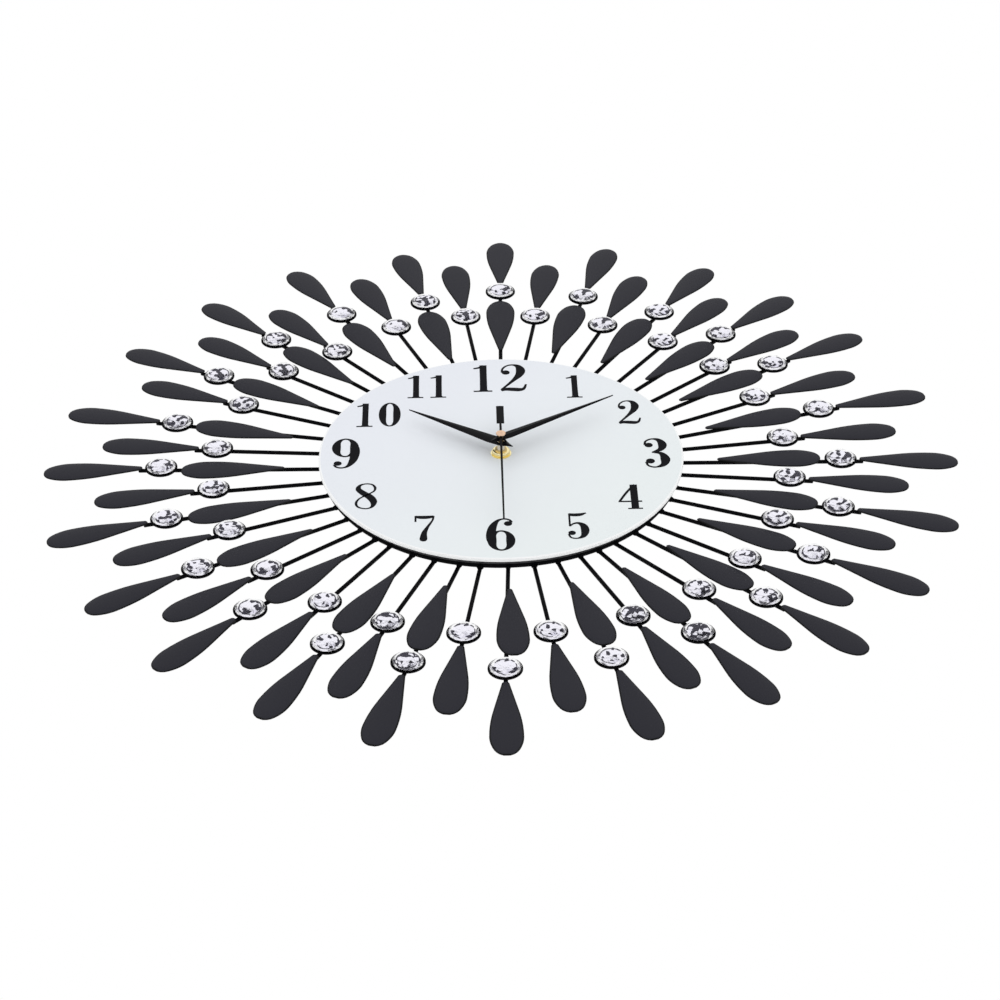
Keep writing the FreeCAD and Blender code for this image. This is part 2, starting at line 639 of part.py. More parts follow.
# --------------------------------------------------------------------- hands
def hand_body(label, outline, angle, bottom, hub_radius, bore):
    """A flat hand with a round hub, turned clockwise to its place at rest."""
    turn = math.radians(-angle)
    turned = [(x * math.cos(turn) - y * math.sin(turn), x * math.sin(turn) + y * math.cos(turn))
              for x, y in outline]
    blade = Part.Face(Part.makePolygon([vec(x, y, bottom) for x, y in turned + turned[:1]]))
    blade = blade.extrude(vec(0, 0, D["hand_thick"]))
    hub = rod(0, 0, hub_radius, bottom, bottom + D["hand_thick"])
    return bored(joined(blade, hub), (0, 0), bore, bottom - 1, bottom + 2)


def lance(length, widest, half_width, tail):
    """Lance outline: short pointed tail, widest just past the hub, long taper to the tip."""
    heel = half_width * 0.8
    return [(0.4, length), (half_width, widest), (heel, -2), (0.3, -tail),
            (-0.3, -tail), (-heel, -2), (-half_width, widest), (-0.4, length)]


def make_hands():
    hour = lance(D["hour_hand_length"], 8.0, 4.7, 9.7)
    with_shape("hour_hand", hand_body("hour_hand", hour, D["hour_hand_at"],
                                      D["hour_hand_z"], 4.0, D["hour_pipe_r"]))
    minute = lance(D["minute_hand_length"], 6.5, 3.9, 9.0)
    with_shape("minute_hand", hand_body("minute_hand", minute, D["minute_hand_at"],
                                        D["minute_hand_z"], 3.4, D["minute_pipe_r"]))
    second = [(0.6, D["second_hand_length"]), (0.8, 0), (0.8, -14.5), (2.6, -14.5), (2.6, -36.5),
              (-2.6, -36.5), (-2.6, -14.5), (-0.8, -14.5), (-0.8, 0), (-0.6, D["second_hand_length"])]
    with_shape("second_hand", hand_body("second_hand", second, D["second_hand_at"],
                                        D["second_hand_z"], 2.2, D["second_arbor_r"]))
    base = D["second_hand_z"] + D["hand_thick"]
    cap = lathe([(0, base), (3.0, base), (3.3, base + 0.3), (3.3, base + 0.7),
                 (2.8, base + 1.1), (0, base + 1.2)])
    with_shape("second_hand_cap", bored(cap, (0, 0), D["second_arbor_r"], base, base + 0.4))


# ------------------------------------------------------------------- assembly
def check_and_export():
    doc.recompute()
    for obj in doc.Objects:
        if "Invalid" in obj.State or "Error" in obj.State:
            raise RuntimeError(f"{obj.Label}: {obj.State}")
    os.makedirs("parts", exist_ok=True)
    for label, obj in nodes.items():
        shape = obj.Shape
        if shape.isNull() or not shape.isValid() or not shape.Solids:
            raise RuntimeError(label + " has no valid solid")
        shape.exportStep(f"parts/{label}.step")
        print(f"{label:24s} solids {len(shape.Solids):3d}  volume {shape.Volume:10.2f} mm3")


make_dial()
make_back_plate()
make_rim_ring()
make_wires()
make_drops()
make_crystals()
make_posts()
make_hanger()
make_gear_train()
make_motion_work()
make_case()
make_clamp()
make_electrics()
make_battery()
make_hands()
check_and_export()
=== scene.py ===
import math

import bmesh
import bpy
import numpy as np
from mathutils import Matrix


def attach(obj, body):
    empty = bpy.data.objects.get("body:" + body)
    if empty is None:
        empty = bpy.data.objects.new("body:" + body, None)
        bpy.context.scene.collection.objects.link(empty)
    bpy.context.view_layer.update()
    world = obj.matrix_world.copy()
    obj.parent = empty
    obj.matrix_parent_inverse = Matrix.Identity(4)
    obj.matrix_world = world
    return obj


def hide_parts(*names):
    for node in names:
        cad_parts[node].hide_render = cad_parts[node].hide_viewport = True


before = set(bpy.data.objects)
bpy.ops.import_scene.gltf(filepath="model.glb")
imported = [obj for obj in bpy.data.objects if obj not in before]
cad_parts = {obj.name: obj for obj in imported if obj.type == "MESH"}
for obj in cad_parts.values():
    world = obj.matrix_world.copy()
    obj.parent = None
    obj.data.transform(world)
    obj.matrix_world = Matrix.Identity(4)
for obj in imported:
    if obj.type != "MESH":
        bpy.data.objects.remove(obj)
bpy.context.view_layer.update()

# Sunburst wall clock. Shapes are worked out in the dial's own frame, in
# millimetres: x right, y towards 12 o'clock, z from the wall to the viewer,
# with the hand arbor on the z axis. hung() turns that into the row's metres.
ARBOR_DROP = 68.0
GLASS_R, GLASS_BACK, GLASS_FRONT = 124.0, 27.0, 30.0
BUSH_HOLE_R = 4.3
PLATE_BACK = 23.8
RING_R, RING_WIRE_R = 119.5, 1.9
RAY_LEVEL, RAY_WIRE_R, RAY_START = 21.2, 1.4, 121.4
ON_WIRES = RAY_LEVEL + RAY_WIRE_R
LONG_END, SHORT_END = 247.0, 212.0
LONG_CRYSTAL_AT, SHORT_CRYSTAL_AT = 231.4, 196.0
INNER_TIP, LONG_TIP, SHORT_TIP = 217.8, 311.7, 276.2
INNER_LENGTH, OUTER_LENGTH = 70.5, 67.6
LONG_DROOP, SHORT_DROOP = 2.4, 1.2
HOUR_HAND_BACK, MINUTE_HAND_BACK, SECOND_HAND_BACK = 39.0, 42.8, 45.0
CAP_BACK = SECOND_HAND_BACK + 0.8
KNOB_AT, KNOB_BACK, KNOB_FRONT = (-10.5, 0.0), 2.6, 6.2
RAYS = 24
# The rays are set one by one: how far each kind leans off its even place at its
# outer end, and at its root on the rim, in degrees clockwise from 12 o'clock.
LONG_LEAN = [1, 1.5, 1.5, 0, -1.5, 0, 1, 0.5, 0, -0.5, -1, -1,
             0.5, 0.5, -1, -0.5, -1, -0.5, 0, -1, 0.5, 1, 0.5, 1.5]
INNER_LEAN = [1, 1, 0.5, 0.5, -0.5, 0, 0.5, 0.5, -0.5, -1, -1, -1.5,
              -1, 0, -1, -1, -1.5, -1.5, -1, -1, 0.5, 0.5, 0, 1]
SHORT_LEAN = [1, 1, 0.5, 0, -0.5, 0.5, 0, 0, 0, -1.5, -1.5, -0.5,
              0.5, 0, -1.5, -1, -0.5, -0.5, -1, 1, 1, -0.5, 0.5, 1]
LONG_ROOT = [1, 1.5, 1, 2, 2, 1.5, 1, 0.5, 0, -0.5, -0.5, -1.5,
             -1, -1, -0.5, -1, -1.5, -1.5, -1, 1.5, 1.5, 1.5, 1.5, 1.5]
SHORT_ROOT = [1, 1.5, 2.5, 2.5, 2, 1, 0.5, 0, 0.5, 0.5, -1.5, -1.5,
              0, -0.5, 0.5, -1.5, -1.5, -1.5, 0.5, 1.5, 1.5, 0.5, 0.5, 1]
LONG_RAYS = 15.0 * np.arange(RAYS) + np.array(LONG_LEAN)
INNER_RAYS = 15.0 * np.arange(RAYS) + np.array(INNER_LEAN)
SHORT_RAYS = 15.0 * np.arange(RAYS) + 7.5 + np.array(SHORT_LEAN)
LONG_ROOTS = 15.0 * np.arange(RAYS) + np.array(LONG_ROOT)
SHORT_ROOTS = 15.0 * np.arange(RAYS) + 7.5 + np.array(SHORT_ROOT)
# One ray of each kind came out short, and carries its pieces further in.
LONG_INSET = np.where(np.arange(RAYS) == 23, 8.0, 0.0)
SHORT_INSET = np.where(np.arange(RAYS) == 21, 8.0, 0.0)


def hung(points):
    """Dial frame in millimetres to row frame in metres: (x, y, z) becomes (x, -z, y - drop)."""
    p = np.asarray(points, dtype=float)
    return np.stack([p[..., 0], -p[..., 2], p[..., 1] - ARBOR_DROP], axis=-1) / 1000.0


def clockwise(points, degrees):
    """Turn points about the arbor: x' = x cos + y sin, y' = y cos - x sin."""
    p = np.asarray(points, dtype=float)
    a = np.radians(degrees)
    x = p[..., 0] * np.cos(a) + p[..., 1] * np.sin(a)
    y = p[..., 1] * np.cos(a) - p[..., 0] * np.sin(a)
    return np.stack([x, y, p[..., 2]], axis=-1)


# ------------------------------------------------------------------- meshes
def grid_faces(rows, columns, wrap_rows=False, wrap_columns=True):
    """Quads over a grid of rows by columns of points, joined up where it wraps."""
    r = np.arange(rows if wrap_rows else rows - 1)
    c = np.arange(columns if wrap_columns else columns - 1)
    i, j = np.meshgrid(r, c, indexing="ij")
    i2, j2 = (i + 1) % rows, (j + 1) % columns
    quads = np.stack([i * columns + j, i * columns + j2, i2 * columns + j2, i2 * columns + j], axis=-1)
    return quads.reshape(-1, 4)


class Shell:
    """Collects points and faces of one piece, then makes its mesh."""

    def __init__(self):
        self.points, self.faces, self.own, self.count = [], [], [], 0

    def add(self, points, faces, own=None):
        """Points and faces, and where a finish needs them each point's own coordinates on its shape."""
        flat = np.asarray(points, dtype=float).reshape(-1, 3)
        self.faces += [[int(v) + self.count for v in face] for face in faces]
        self.points.append(flat)
        self.count += len(flat)
        if own is not None:
            self.own.append(np.asarray(own, dtype=float).reshape(-1, 3))

    def add_rings(self, rings, closed_path=False, own=None):
        """Rings of points carried along a path, closed round each ring, with a flat cap at either end."""
        rows, columns = rings.shape[:2]
        faces = grid_faces(rows, columns, wrap_rows=closed_path).tolist()
        if not closed_path:
            faces.append(list(range(columns))[::-1])
            faces.append(list(range((rows - 1) * columns, rows * columns)))
        self.add(rings, faces, own)

    def add_copies(self, rings, angles, insets, own=None):
        """The same rings drawn in towards the arbor by each inset, then turned to each angle."""
        for angle, inset in zip(angles, insets):
            self.add_rings(clockwise(rings - [0.0, inset, 0.0], angle), own=own)

    def piece(self, name, body, slot, material, replaces=(), smooth=30.0):
        """Make the mesh, give it its finish, and hang it on its body."""
        mesh = bpy.data.meshes.new(name)
        mesh.from_pydata(hung(np.concatenate(self.points)).tolist(), [], self.faces)
        mesh.update()
        outward(mesh)
        made = bpy.data.objects.new(name, mesh)
        bpy.context.scene.collection.objects.link(made)
        soften(mesh, smooth)
        if self.own:
            own = mesh.attributes.new("own_place", "FLOAT_VECTOR", "POINT")
            own.data.foreach_set("vector", np.concatenate(self.own).ravel())
        mesh.materials.append(material)
        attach(made, body)
        if replaces:
            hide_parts(*replaces)
        return made


def outward(mesh):
    """Turn every closed shell's faces outwards."""
    work = bmesh.new()
    work.from_mesh(mesh)
    bmesh.ops.recalc_face_normals(work, faces=work.faces)
    work.to_mesh(mesh)
    work.free()


def soften(mesh, degrees):
    """Smooth shading, kept crisp where two faces meet at more than the given angle."""
    mesh.polygons.foreach_set("use_smooth", [degrees > 0] * len(mesh.polygons))
    if degrees > 0:
        mesh.set_sharp_from_angle(angle=math.radians(degrees))


def lathe_rings(profile, at=(0.0, 0.0), steps=96):
    """A closed outline of (radius, height) points turned about an upright axis.

    Ring k holds the outline at angle 2 pi k / steps: x = r cos, y = r sin, z = height.
    """
    outline = np.asarray(profile, dtype=float)
    a = np.linspace(0, 2 * np.pi, steps, endpoint=False)[:, None]
    x = at[0] + outline[None, :, 0] * np.cos(a)
    y = at[1] + outline[None, :, 0] * np.sin(a)
    z = np.broadcast_to(outline[None, :, 1], x.shape)
    return np.stack([x, y, z], axis=-1)


def add_lathe(shell, profile, at=(0.0, 0.0), steps=96):
    """A closed (radius, height) outline turned once round its axis: x = r cos, y = r sin, z = height."""
    shell.add_rings(lathe_rings(profile, at, steps), closed_path=True)


def add_solid_lathe(shell, profile, at=(0.0, 0.0), steps=48):
    """An open (radius, height) profile from axis to axis, turned into a solid.

    Each row is a ring, x = r cos, y = r sin, z = height, and a cap closes either end."""
    outline = np.asarray(profile, dtype=float)
    a = np.linspace(0, 2 * np.pi, steps, endpoint=False)[None, :]
    x = at[0] + outline[:, 0:1] * np.cos(a)
    y = at[1] + outline[:, 0:1] * np.sin(a)
    z = np.broadcast_to(outline[:, 1:2], x.shape)
    shell.add_rings(np.stack([x, y, z], axis=-1))


def rounded(radius, height_low, height_high, bevel, steps=5):
    """(radius, height) points up a rounded edge: a quarter turn at the bottom and one at the top."""
    a = np.linspace(0, np.pi / 2, steps)
    inset, low_turn, high_turn = radius - bevel, height_low + bevel, height_high - bevel
    low = np.stack([inset + bevel * np.sin(a), low_turn - bevel * np.cos(a)], axis=-1)
    high = np.stack([inset + bevel * np.cos(a), high_turn + bevel * np.sin(a)], axis=-1)
    return np.concatenate([low, high])


# ---------------------------------------------------------------- materials
class Finish:
    """A node material: one Principled BSDF and short ways to wire it."""

    def __init__(self, name, roughness=0.5, metallic=0.0, specular=0.5):
        self.material = bpy.data.materials.new(name)
        self.material.use_nodes = True
        self.tree = self.material.node_tree
        self.bsdf = self.tree.nodes["Principled BSDF"]
        self.set("Roughness", roughness)
        self.set("Metallic", metallic)
        self.set("Specular IOR Level", specular)
        self.coords = self.tree.nodes.new("ShaderNodeTexCoord")

    def set(self, socket, value):
        """Set one value on the shader's own socket."""
        self.bsdf.inputs[socket].default_value = value

    def node(self, kind, **values):
        """A new node of this material, with its settings."""
        made = self.tree.nodes.new(kind)
        for key, value in values.items():
            setattr(made, key, value)
        return made

    def link(self, source, target):
        """Wire an output to an input."""
        self.tree.links.new(source, target)

    def group(self, tree, **values):
        """Place a shared group, fed with object coordinates and this material's own values."""
        made = self.node("ShaderNodeGroup", node_tree=tree)
        for key, value in values.items():
            made.inputs[key.replace("_", " ")].default_value = value
        self.link(self.coords.outputs["Object"], made.inputs["Position"])
        return made

    def own_place(self):
        """The coordinates a piece carries in its own_place attribute."""
        return self.node("ShaderNodeAttribute", attribute_name="own_place").outputs["Vector"]

    def over(self, under, factor, colour):
        """A plain colour laid over another by a mask."""
        layer = self.node("ShaderNodeMix", data_type="RGBA")
        self.link(factor, layer.inputs["Factor"])
        self.link(under, layer.inputs["A"])
        put_colour(layer.inputs["B"], colour)
        return layer.outputs["Result"]

    def mix(self, factor, dark, light, socket="Base Color"):
        """Base colour between two tones by a mask."""
        blend = self.node("ShaderNodeMix", data_type="RGBA")
        self.link(factor, blend.inputs["Factor"])
        put_colour(blend.inputs["A"], dark)
        put_colour(blend.inputs["B"], light)
        if socket:
            self.link(blend.outputs["Result"], self.bsdf.inputs[socket])
        return blend

    def ramp(self, source, low, high, socket="Roughness"):
        """Map a 0 to 1 mask onto a range of one value."""
        spread = self.node("ShaderNodeMapRange")
        spread.inputs["To Min"].default_value = low
        spread.inputs["To Max"].default_value = high
        self.link(source, spread.inputs["Value"])
        self.link(spread.outputs["Result"], self.bsdf.inputs[socket])
        return spread

    def bump(self, height, distance, strength=1.0):
        """Turn a height mask into small relief, `distance` metres deep."""
        bumps = self.node("ShaderNodeBump")
        bumps.inputs["Distance"].default_value = distance
        bumps.inputs["Strength"].default_value = strength
        self.link(height, bumps.inputs["Height"])
        self.link(bumps.outputs["Normal"], self.bsdf.inputs["Normal"])
        return bumps


def put_colour(socket, colour):
    """Set a plain colour on a socket, fully opaque."""
    socket.default_value = (*colour, 1.0)


def new_group(name, inputs, outputs):
    """A shader node group with a Position input and named number inputs and outputs."""
    tree = bpy.data.node_groups.new(name, "ShaderNodeTree")
    tree.interface.new_socket("Position", in_out="INPUT", socket_type="NodeSocketVector")
    for label, value in inputs:
        made = tree.interface.new_socket(label, in_out="INPUT", socket_type="NodeSocketFloat")
        made.default_value = value
    for label in outputs:
        tree.interface.new_socket(label, in_out="OUTPUT", socket_type="NodeSocketFloat")
    return tree, tree.nodes.new("NodeGroupInput"), tree.nodes.new("NodeGroupOutput")


def noise(tree, position, scale, detail=3.0, roughness=0.55):
    """Cloudy noise from 0 to 1, finer as the scale grows."""
    made = tree.nodes.new("ShaderNodeTexNoise")
    made.inputs["Detail"].default_value = detail
    made.inputs["Roughness"].default_value = roughness
    tree.links.new(position, made.inputs["Vector"])
    if isinstance(scale, (int, float)):
        made.inputs["Scale"].default_value = scale
    else:
        tree.links.new(scale, made.inputs["Scale"])
    return made.outputs["Fac"]


def maths(tree, operation, a, b):
    """One sum on two values, each a number or another node's output."""
    made = tree.nodes.new("ShaderNodeMath")
    made.operation = operation
    for socket, value in zip(made.inputs, (a, b)):
        if isinstance(value, (int, float)):
            socket.default_value = value
        else:
            tree.links.new(value, socket)
    return made.outputs[0]


def coat_skin_group():
    """Sprayed or moulded skin: fine orange peel for height, slow clouds for tone and gloss."""
    tree, inside, out = new_group("coat_skin", [("Peel Scale", 900.0), ("Cloud Scale", 14.0)],
                                  ["Height", "Tone", "Gloss"])
    place = inside.outputs["Position"]
    peel = noise(tree, place, inside.outputs["Peel Scale"], 2.0, 0.6)
    cloud = noise(tree, place, inside.outputs["Cloud Scale"], 4.0, 0.6)
    speck = noise(tree, place, 2600.0, 1.0, 0.5)
    tree.links.new(maths(tree, "ADD", peel, maths(tree, "MULTIPLY", speck, 0.4)), out.inputs["Height"])
    tree.links.new(cloud, out.inputs["Tone"])
    tree.links.new(maths(tree, "MULTIPLY_ADD", peel, 0.5), out.inputs["Gloss"])
    return tree


def metal_grain_group():
    """Turned or rolled metal: long fine scratches one way, and slow stains."""
    tree, inside, out = new_group("metal_grain", [("Scratch Scale", 500.0), ("Stain Scale", 60.0)],
                                  ["Height", "Stain", "Gloss"])
    place = inside.outputs["Position"]
    stretch = tree.nodes.new("ShaderNodeMapping")
    stretch.inputs["Scale"].default_value = (1.0, 1.0, 9.0)
    tree.links.new(place, stretch.inputs["Vector"])
    scratch = noise(tree, stretch.outputs["Vector"], inside.outputs["Scratch Scale"], 3.0, 0.65)
    stain = noise(tree, place, inside.outputs["Stain Scale"], 3.0, 0.5)
    tree.links.new(scratch, out.inputs["Height"])
    tree.links.new(stain, out.inputs["Stain"])
    tree.links.new(maths(tree, "MULTIPLY", scratch, stain), out.inputs["Gloss"])
    return tree


def dust_group():
    """Dust that settles on faces that look up: a mask of the normal's upward part and noise."""
    tree, inside, out = new_group("dust_film", [("Amount", 0.1)], ["Mask"])
    geometry = tree.nodes.new("ShaderNodeNewGeometry")
    split = tree.nodes.new("ShaderNodeSeparateXYZ")
    tree.links.new(geometry.outputs["Normal"], split.inputs["Vector"])
    upward = maths(tree, "MAXIMUM", split.outputs["Z"], 0.0)
    patches = noise(tree, inside.outputs["Position"], 260.0, 4.0, 0.7)
    cover = maths(tree, "MULTIPLY", upward, patches)
    tree.links.new(maths(tree, "MULTIPLY", cover, inside.outputs["Amount"]), out.inputs["Mask"])
    return tree


def split_vector(tree, vector):
    """The x, y and z of a vector."""
    made = tree.nodes.new("ShaderNodeSeparateXYZ")
    tree.links.new(vector, made.inputs["Vector"])
    return made.outputs


def span(tree, value, low, high):
    """0 below `low` and 1 above `high`; the other way round where `low` is the larger."""
    made = tree.nodes.new("ShaderNodeMapRange")
    made.inputs["From Min"].default_value = low
    made.inputs["From Max"].default_value = high
    tree.links.new(value, made.inputs["Value"])
    return made.outputs["Result"]


def flat_distance(tree, position, keep, shift=(0.0, 0.0, 0.0)):
    """Distance from an axis: the length of the position with its part along the axis left out."""
    centred = tree.nodes.new("ShaderNodeMapping")
    centred.inputs["Location"].default_value = shift
    centred.inputs["Scale"].default_value = keep
    tree.links.new(position, centred.inputs["Vector"])
    made = tree.nodes.new("ShaderNodeVectorMath")
    made.operation = "LENGTH"
    tree.links.new(centred.outputs["Vector"], made.inputs[0])
    return made.outputs["Value"]


def from_arbor(tree, position):
    """Distance in metres from the hand arbor's axis."""
    return flat_distance(tree, position, (1.0, 0.0, 1.0), (0.0, 0.0, ARBOR_DROP / 1000.0))


def facet_glint_group():
    """Silvered facets by place in millimetres, with painted reflections: cells, some of them dark for facets
    that reflect dark surroundings, and a broken dark band just inside the table's edge, all inside a bright
    rim.

    Shine is 1 in a bright cell and 0 in a dark one, and Table is 1 inside the table's edge.
    """
    tree, inside, out = new_group("facet_glint", [("Cell Scale", 0.36), ("Dark Share", 0.3)],
                                  ["Shine", "Table"])
    place = inside.outputs["Position"]
    away = flat_distance(tree, place, (1.0, 1.0, 0.0))
    cells = tree.nodes.new("ShaderNodeTexVoronoi")
    tree.links.new(place, cells.inputs["Vector"])
    tree.links.new(inside.outputs["Cell Scale"], cells.inputs["Scale"])
    pick = split_vector(tree, cells.outputs["Color"])
    # Painted reflection: a share of the cells goes dark, standing for facets that reflect dark surroundings.
    dark = maths(tree, "LESS_THAN", pick["X"], inside.outputs["Dark Share"])
    dark = maths(tree, "MULTIPLY", dark, span(tree, away, 7.7, 7.4))
    # Painted reflection: a broken dark band just inside the table's edge.
    dash = maths(tree, "MULTIPLY", span(tree, away, 6.3, 6.5), span(tree, away, 7.3, 7.1))
    dash = maths(tree, "MULTIPLY", dash, maths(tree, "LESS_THAN", pick["Y"], 0.62))
    cover = maths(tree, "MAXIMUM", dark, dash)
    tree.links.new(maths(tree, "SUBTRACT", 1.0, cover), out.inputs["Shine"])
    tree.links.new(span(tree, away, 7.1, 6.9), out.inputs["Table"])
    return tree


coat_skin = coat_skin_group()
metal_grain = metal_grain_group()
dust_film = dust_group()
facet_glint = facet_glint_group()


def coated(name, dark, light, rough, peel_scale, peel, specular=0.35, cloud=14.0, dust=0.0,
           edge_shade=None):
    """Paint, powder coat, plastic or rubber: cloudy tone, peel bump, a little dust on top faces.

    The colour given for the edge is painted shade: the coat is darkened to it along an edge whose
    distance the piece carries in millimetres as the x of its own place.
    """
    finish = Finish(name, specular=specular)
    skin = finish.group(coat_skin, Peel_Scale=peel_scale, Cloud_Scale=cloud)
    tone = finish.mix(skin.outputs["Tone"], dark, light, None).outputs["Result"]
    # Painted shade: within about a millimetre of the outline the coat is darkened to the edge colour.
    if edge_shade:
        edge = split_vector(finish.tree, finish.own_place())["X"]
        tone = finish.over(tone, span(finish.tree, edge, 1.3, 0.7), edge_shade)
    if dust:
        film = finish.group(dust_film, Amount=dust)
        tone = finish.over(tone, film.outputs["Mask"], (0.45, 0.44, 0.42))
    finish.link(tone, finish.bsdf.inputs["Base Color"])
    finish.ramp(skin.outputs["Tone"], rough[0], rough[1])
    finish.bump(skin.outputs["Height"], peel)
    return finish.material


def metal(name, dark, light, rough, scratch_scale=500.0, depth=2e-5, stain_scale=60.0):
    """Bare or plated metal with scratches and faint stains."""
    finish = Finish(name, metallic=1.0)
    grain = finish.group(metal_grain, Scratch_Scale=scratch_scale, Stain_Scale=stain_scale)
    finish.mix(grain.outputs["Stain"], dark, light)
    finish.ramp(grain.outputs["Gloss"], rough[0], rough[1])
    finish.bump(grain.outputs["Height"], depth, 0.5)
    return finish.material


def dial_paint():
    """White paint on the back of the glass, with painted light: a painted reflection takes it from cool at the
    upper left to a trace of green at the right, and a painted highlight runs along the polished edge.
    """
    finish = Finish("dial_glass_white", roughness=0.3, specular=0.3)
    # Painted reflection: a colour shift across the face, cool at the upper left and a trace of green at the
    # lower right, standing for the glass's reflection of its surroundings.
    split = finish.node("ShaderNodeSeparateXYZ")
    finish.link(finish.coords.outputs["Object"], split.inputs["Vector"])
    slope = maths(finish.tree, "SUBTRACT", split.outputs["X"], split.outputs["Z"])
    across = finish.node("ShaderNodeMapRange")
    across.inputs["From Min"].default_value = -0.07
    across.inputs["From Max"].default_value = 0.20
    finish.link(slope, across.inputs["Value"])
    painted_reflection_tint = finish.mix(across.outputs["Result"], (0.835, 0.862, 0.925), (0.845, 0.895, 0.905), None)
    skin = finish.group(coat_skin, Peel_Scale=40.0, Cloud_Scale=9.0)
    cloud = finish.node("ShaderNodeMix", data_type="RGBA", blend_type="MULTIPLY")
    cloud.inputs["Factor"].default_value = 0.05
    finish.link(painted_reflection_tint.outputs["Result"], cloud.inputs["A"])
    finish.link(skin.outputs["Tone"], cloud.inputs["B"])
    away = from_arbor(finish.tree, finish.coords.outputs["Object"])
    # Painted highlight: a near-white band along the polished edge of the glass.
    polished = span(finish.tree, away, (GLASS_R - 1.4) / 1000.0, (GLASS_R - 0.9) / 1000.0)
    paint = finish.over(cloud.outputs["Result"], polished, (0.97, 0.98, 0.985))
    finish.link(paint, finish.bsdf.inputs["Base Color"])
    finish.ramp(skin.outputs["Tone"], 0.34, 0.42)
    finish.bump(skin.outputs["Height"], 1e-5, 0.3)
    finish.set("Coat Weight", 0.14)
    finish.set("Coat Roughness", 0.08)
    return finish.material


def clear_crystal():
    """Cut glass with a faint lavender cast and fine polishing lines."""
    finish = Finish("crystal_clear", roughness=0.0)
    skin = finish.group(coat_skin, Peel_Scale=300.0, Cloud_Scale=180.0)
    finish.mix(skin.outputs["Tone"], (0.97, 0.97, 0.99), (1.0, 1.0, 1.0))
    finish.ramp(skin.outputs["Gloss"], 0.0, 0.03)
    finish.set("Transmission Weight", 1.0)
    finish.set("IOR", 1.3)
    return finish.material


def silvered_facets():
    """Silvered back of the stone: bright rim, lavender table, and painted reflections as dark cells where a
    facet looks away towards dark surroundings.
    """
    finish = Finish("crystal_foil", metallic=1.0)
    glint = finish.node("ShaderNodeGroup", node_tree=facet_glint)
    finish.link(finish.own_place(), glint.inputs["Position"])
    silver = finish.mix(glint.outputs["Table"], (1.0, 1.0, 1.0), (0.93, 0.92, 0.99), None)
    shade = finish.node("ShaderNodeMix", data_type="RGBA")
    finish.link(glint.outputs["Shine"], shade.inputs["Factor"])
    # Painted reflection: the near-black colour of the dark cells and of the band at the table's edge.
    put_colour(shade.inputs["A"], (0.035, 0.033, 0.05))
    finish.link(silver.outputs["Result"], shade.inputs["B"])
    finish.link(shade.outputs["Result"], finish.bsdf.inputs["Base Color"])
    finish.ramp(glint.outputs["Table"], 0.1, 0.18)
    return finish.material


def with_brass_bush(material):
    """The case's threaded bush is a brass insert: brass near the arbor's axis, in front of the plate."""
    tree = material.node_tree
    bsdf = tree.nodes["Principled BSDF"]
    place = tree.nodes.new("ShaderNodeTexCoord").outputs["Object"]
    away = from_arbor(tree, place)
    front = span(tree, split_vector(tree, place)["Y"], -0.0262, -0.0266)
    mask = maths(tree, "MULTIPLY", span(tree, away, 0.0048, 0.0046), front)
    layer = tree.nodes.new("ShaderNodeMix")
    layer.data_type = "RGBA"
    tree.links.new(mask, layer.inputs["Factor"])
    tree.links.new(bsdf.inputs["Base Color"].links[0].from_socket, layer.inputs["A"])
    put_colour(layer.inputs["B"], (0.86, 0.68, 0.34))
    tree.links.new(layer.outputs["Result"], bsdf.inputs["Base Color"])
    tree.links.new(mask, bsdf.inputs["Metallic"])
    return material


def winding_copper():
    """Enamelled wire wound round the coil: fine bands along x."""
    finish = Finish("coil_copper", metallic=0.9)
    wave = finish.node("ShaderNodeTexWave", wave_type="BANDS", bands_direction="X")
    wave.inputs["Scale"].default_value = 2400.0
    wave.inputs["Distortion"].default_value = 0.6
    finish.link(finish.coords.outputs["Object"], wave.inputs["Vector"])
    finish.mix(wave.outputs["Fac"], (0.28, 0.09, 0.03), (0.72, 0.30, 0.12))
    finish.ramp(wave.outputs["Fac"], 0.22, 0.4)
    finish.bump(wave.outputs["Fac"], 6e-5)
    return finish.material


def cell_jacket():
    """Plain wrapped cell: two-tone sleeve, darker at one end, with bare metal at the ends."""
    finish = Finish("battery_jacket", roughness=0.3, specular=0.5)
    split = finish.node("ShaderNodeSeparateXYZ")
    finish.link(finish.coords.outputs["Object"], split.inputs["Vector"])
    band = finish.node("ShaderNodeMapRange")
    band.inputs["From Min"].default_value = 0.0088
    band.inputs["From Max"].default_value = 0.0092
    finish.link(split.outputs["X"], band.inputs["Value"])
    sleeve = finish.mix(band.outputs["Result"], (0.055, 0.075, 0.12), (0.42, 0.44, 0.46), None)
    skin = finish.group(coat_skin, Peel_Scale=250.0, Cloud_Scale=70.0)
    worn = finish.node("ShaderNodeMix", data_type="RGBA", blend_type="MULTIPLY")
    worn.inputs["Factor"].default_value = 0.3
    finish.link(sleeve.outputs["Result"], worn.inputs["A"])
    finish.link(skin.outputs["Tone"], worn.inputs["B"])
    finish.link(worn.outputs["Result"], finish.bsdf.inputs["Base Color"])
    finish.ramp(skin.outputs["Tone"], 0.22, 0.4)
    finish.bump(skin.outputs["Height"], 2e-5)
    return finish.material


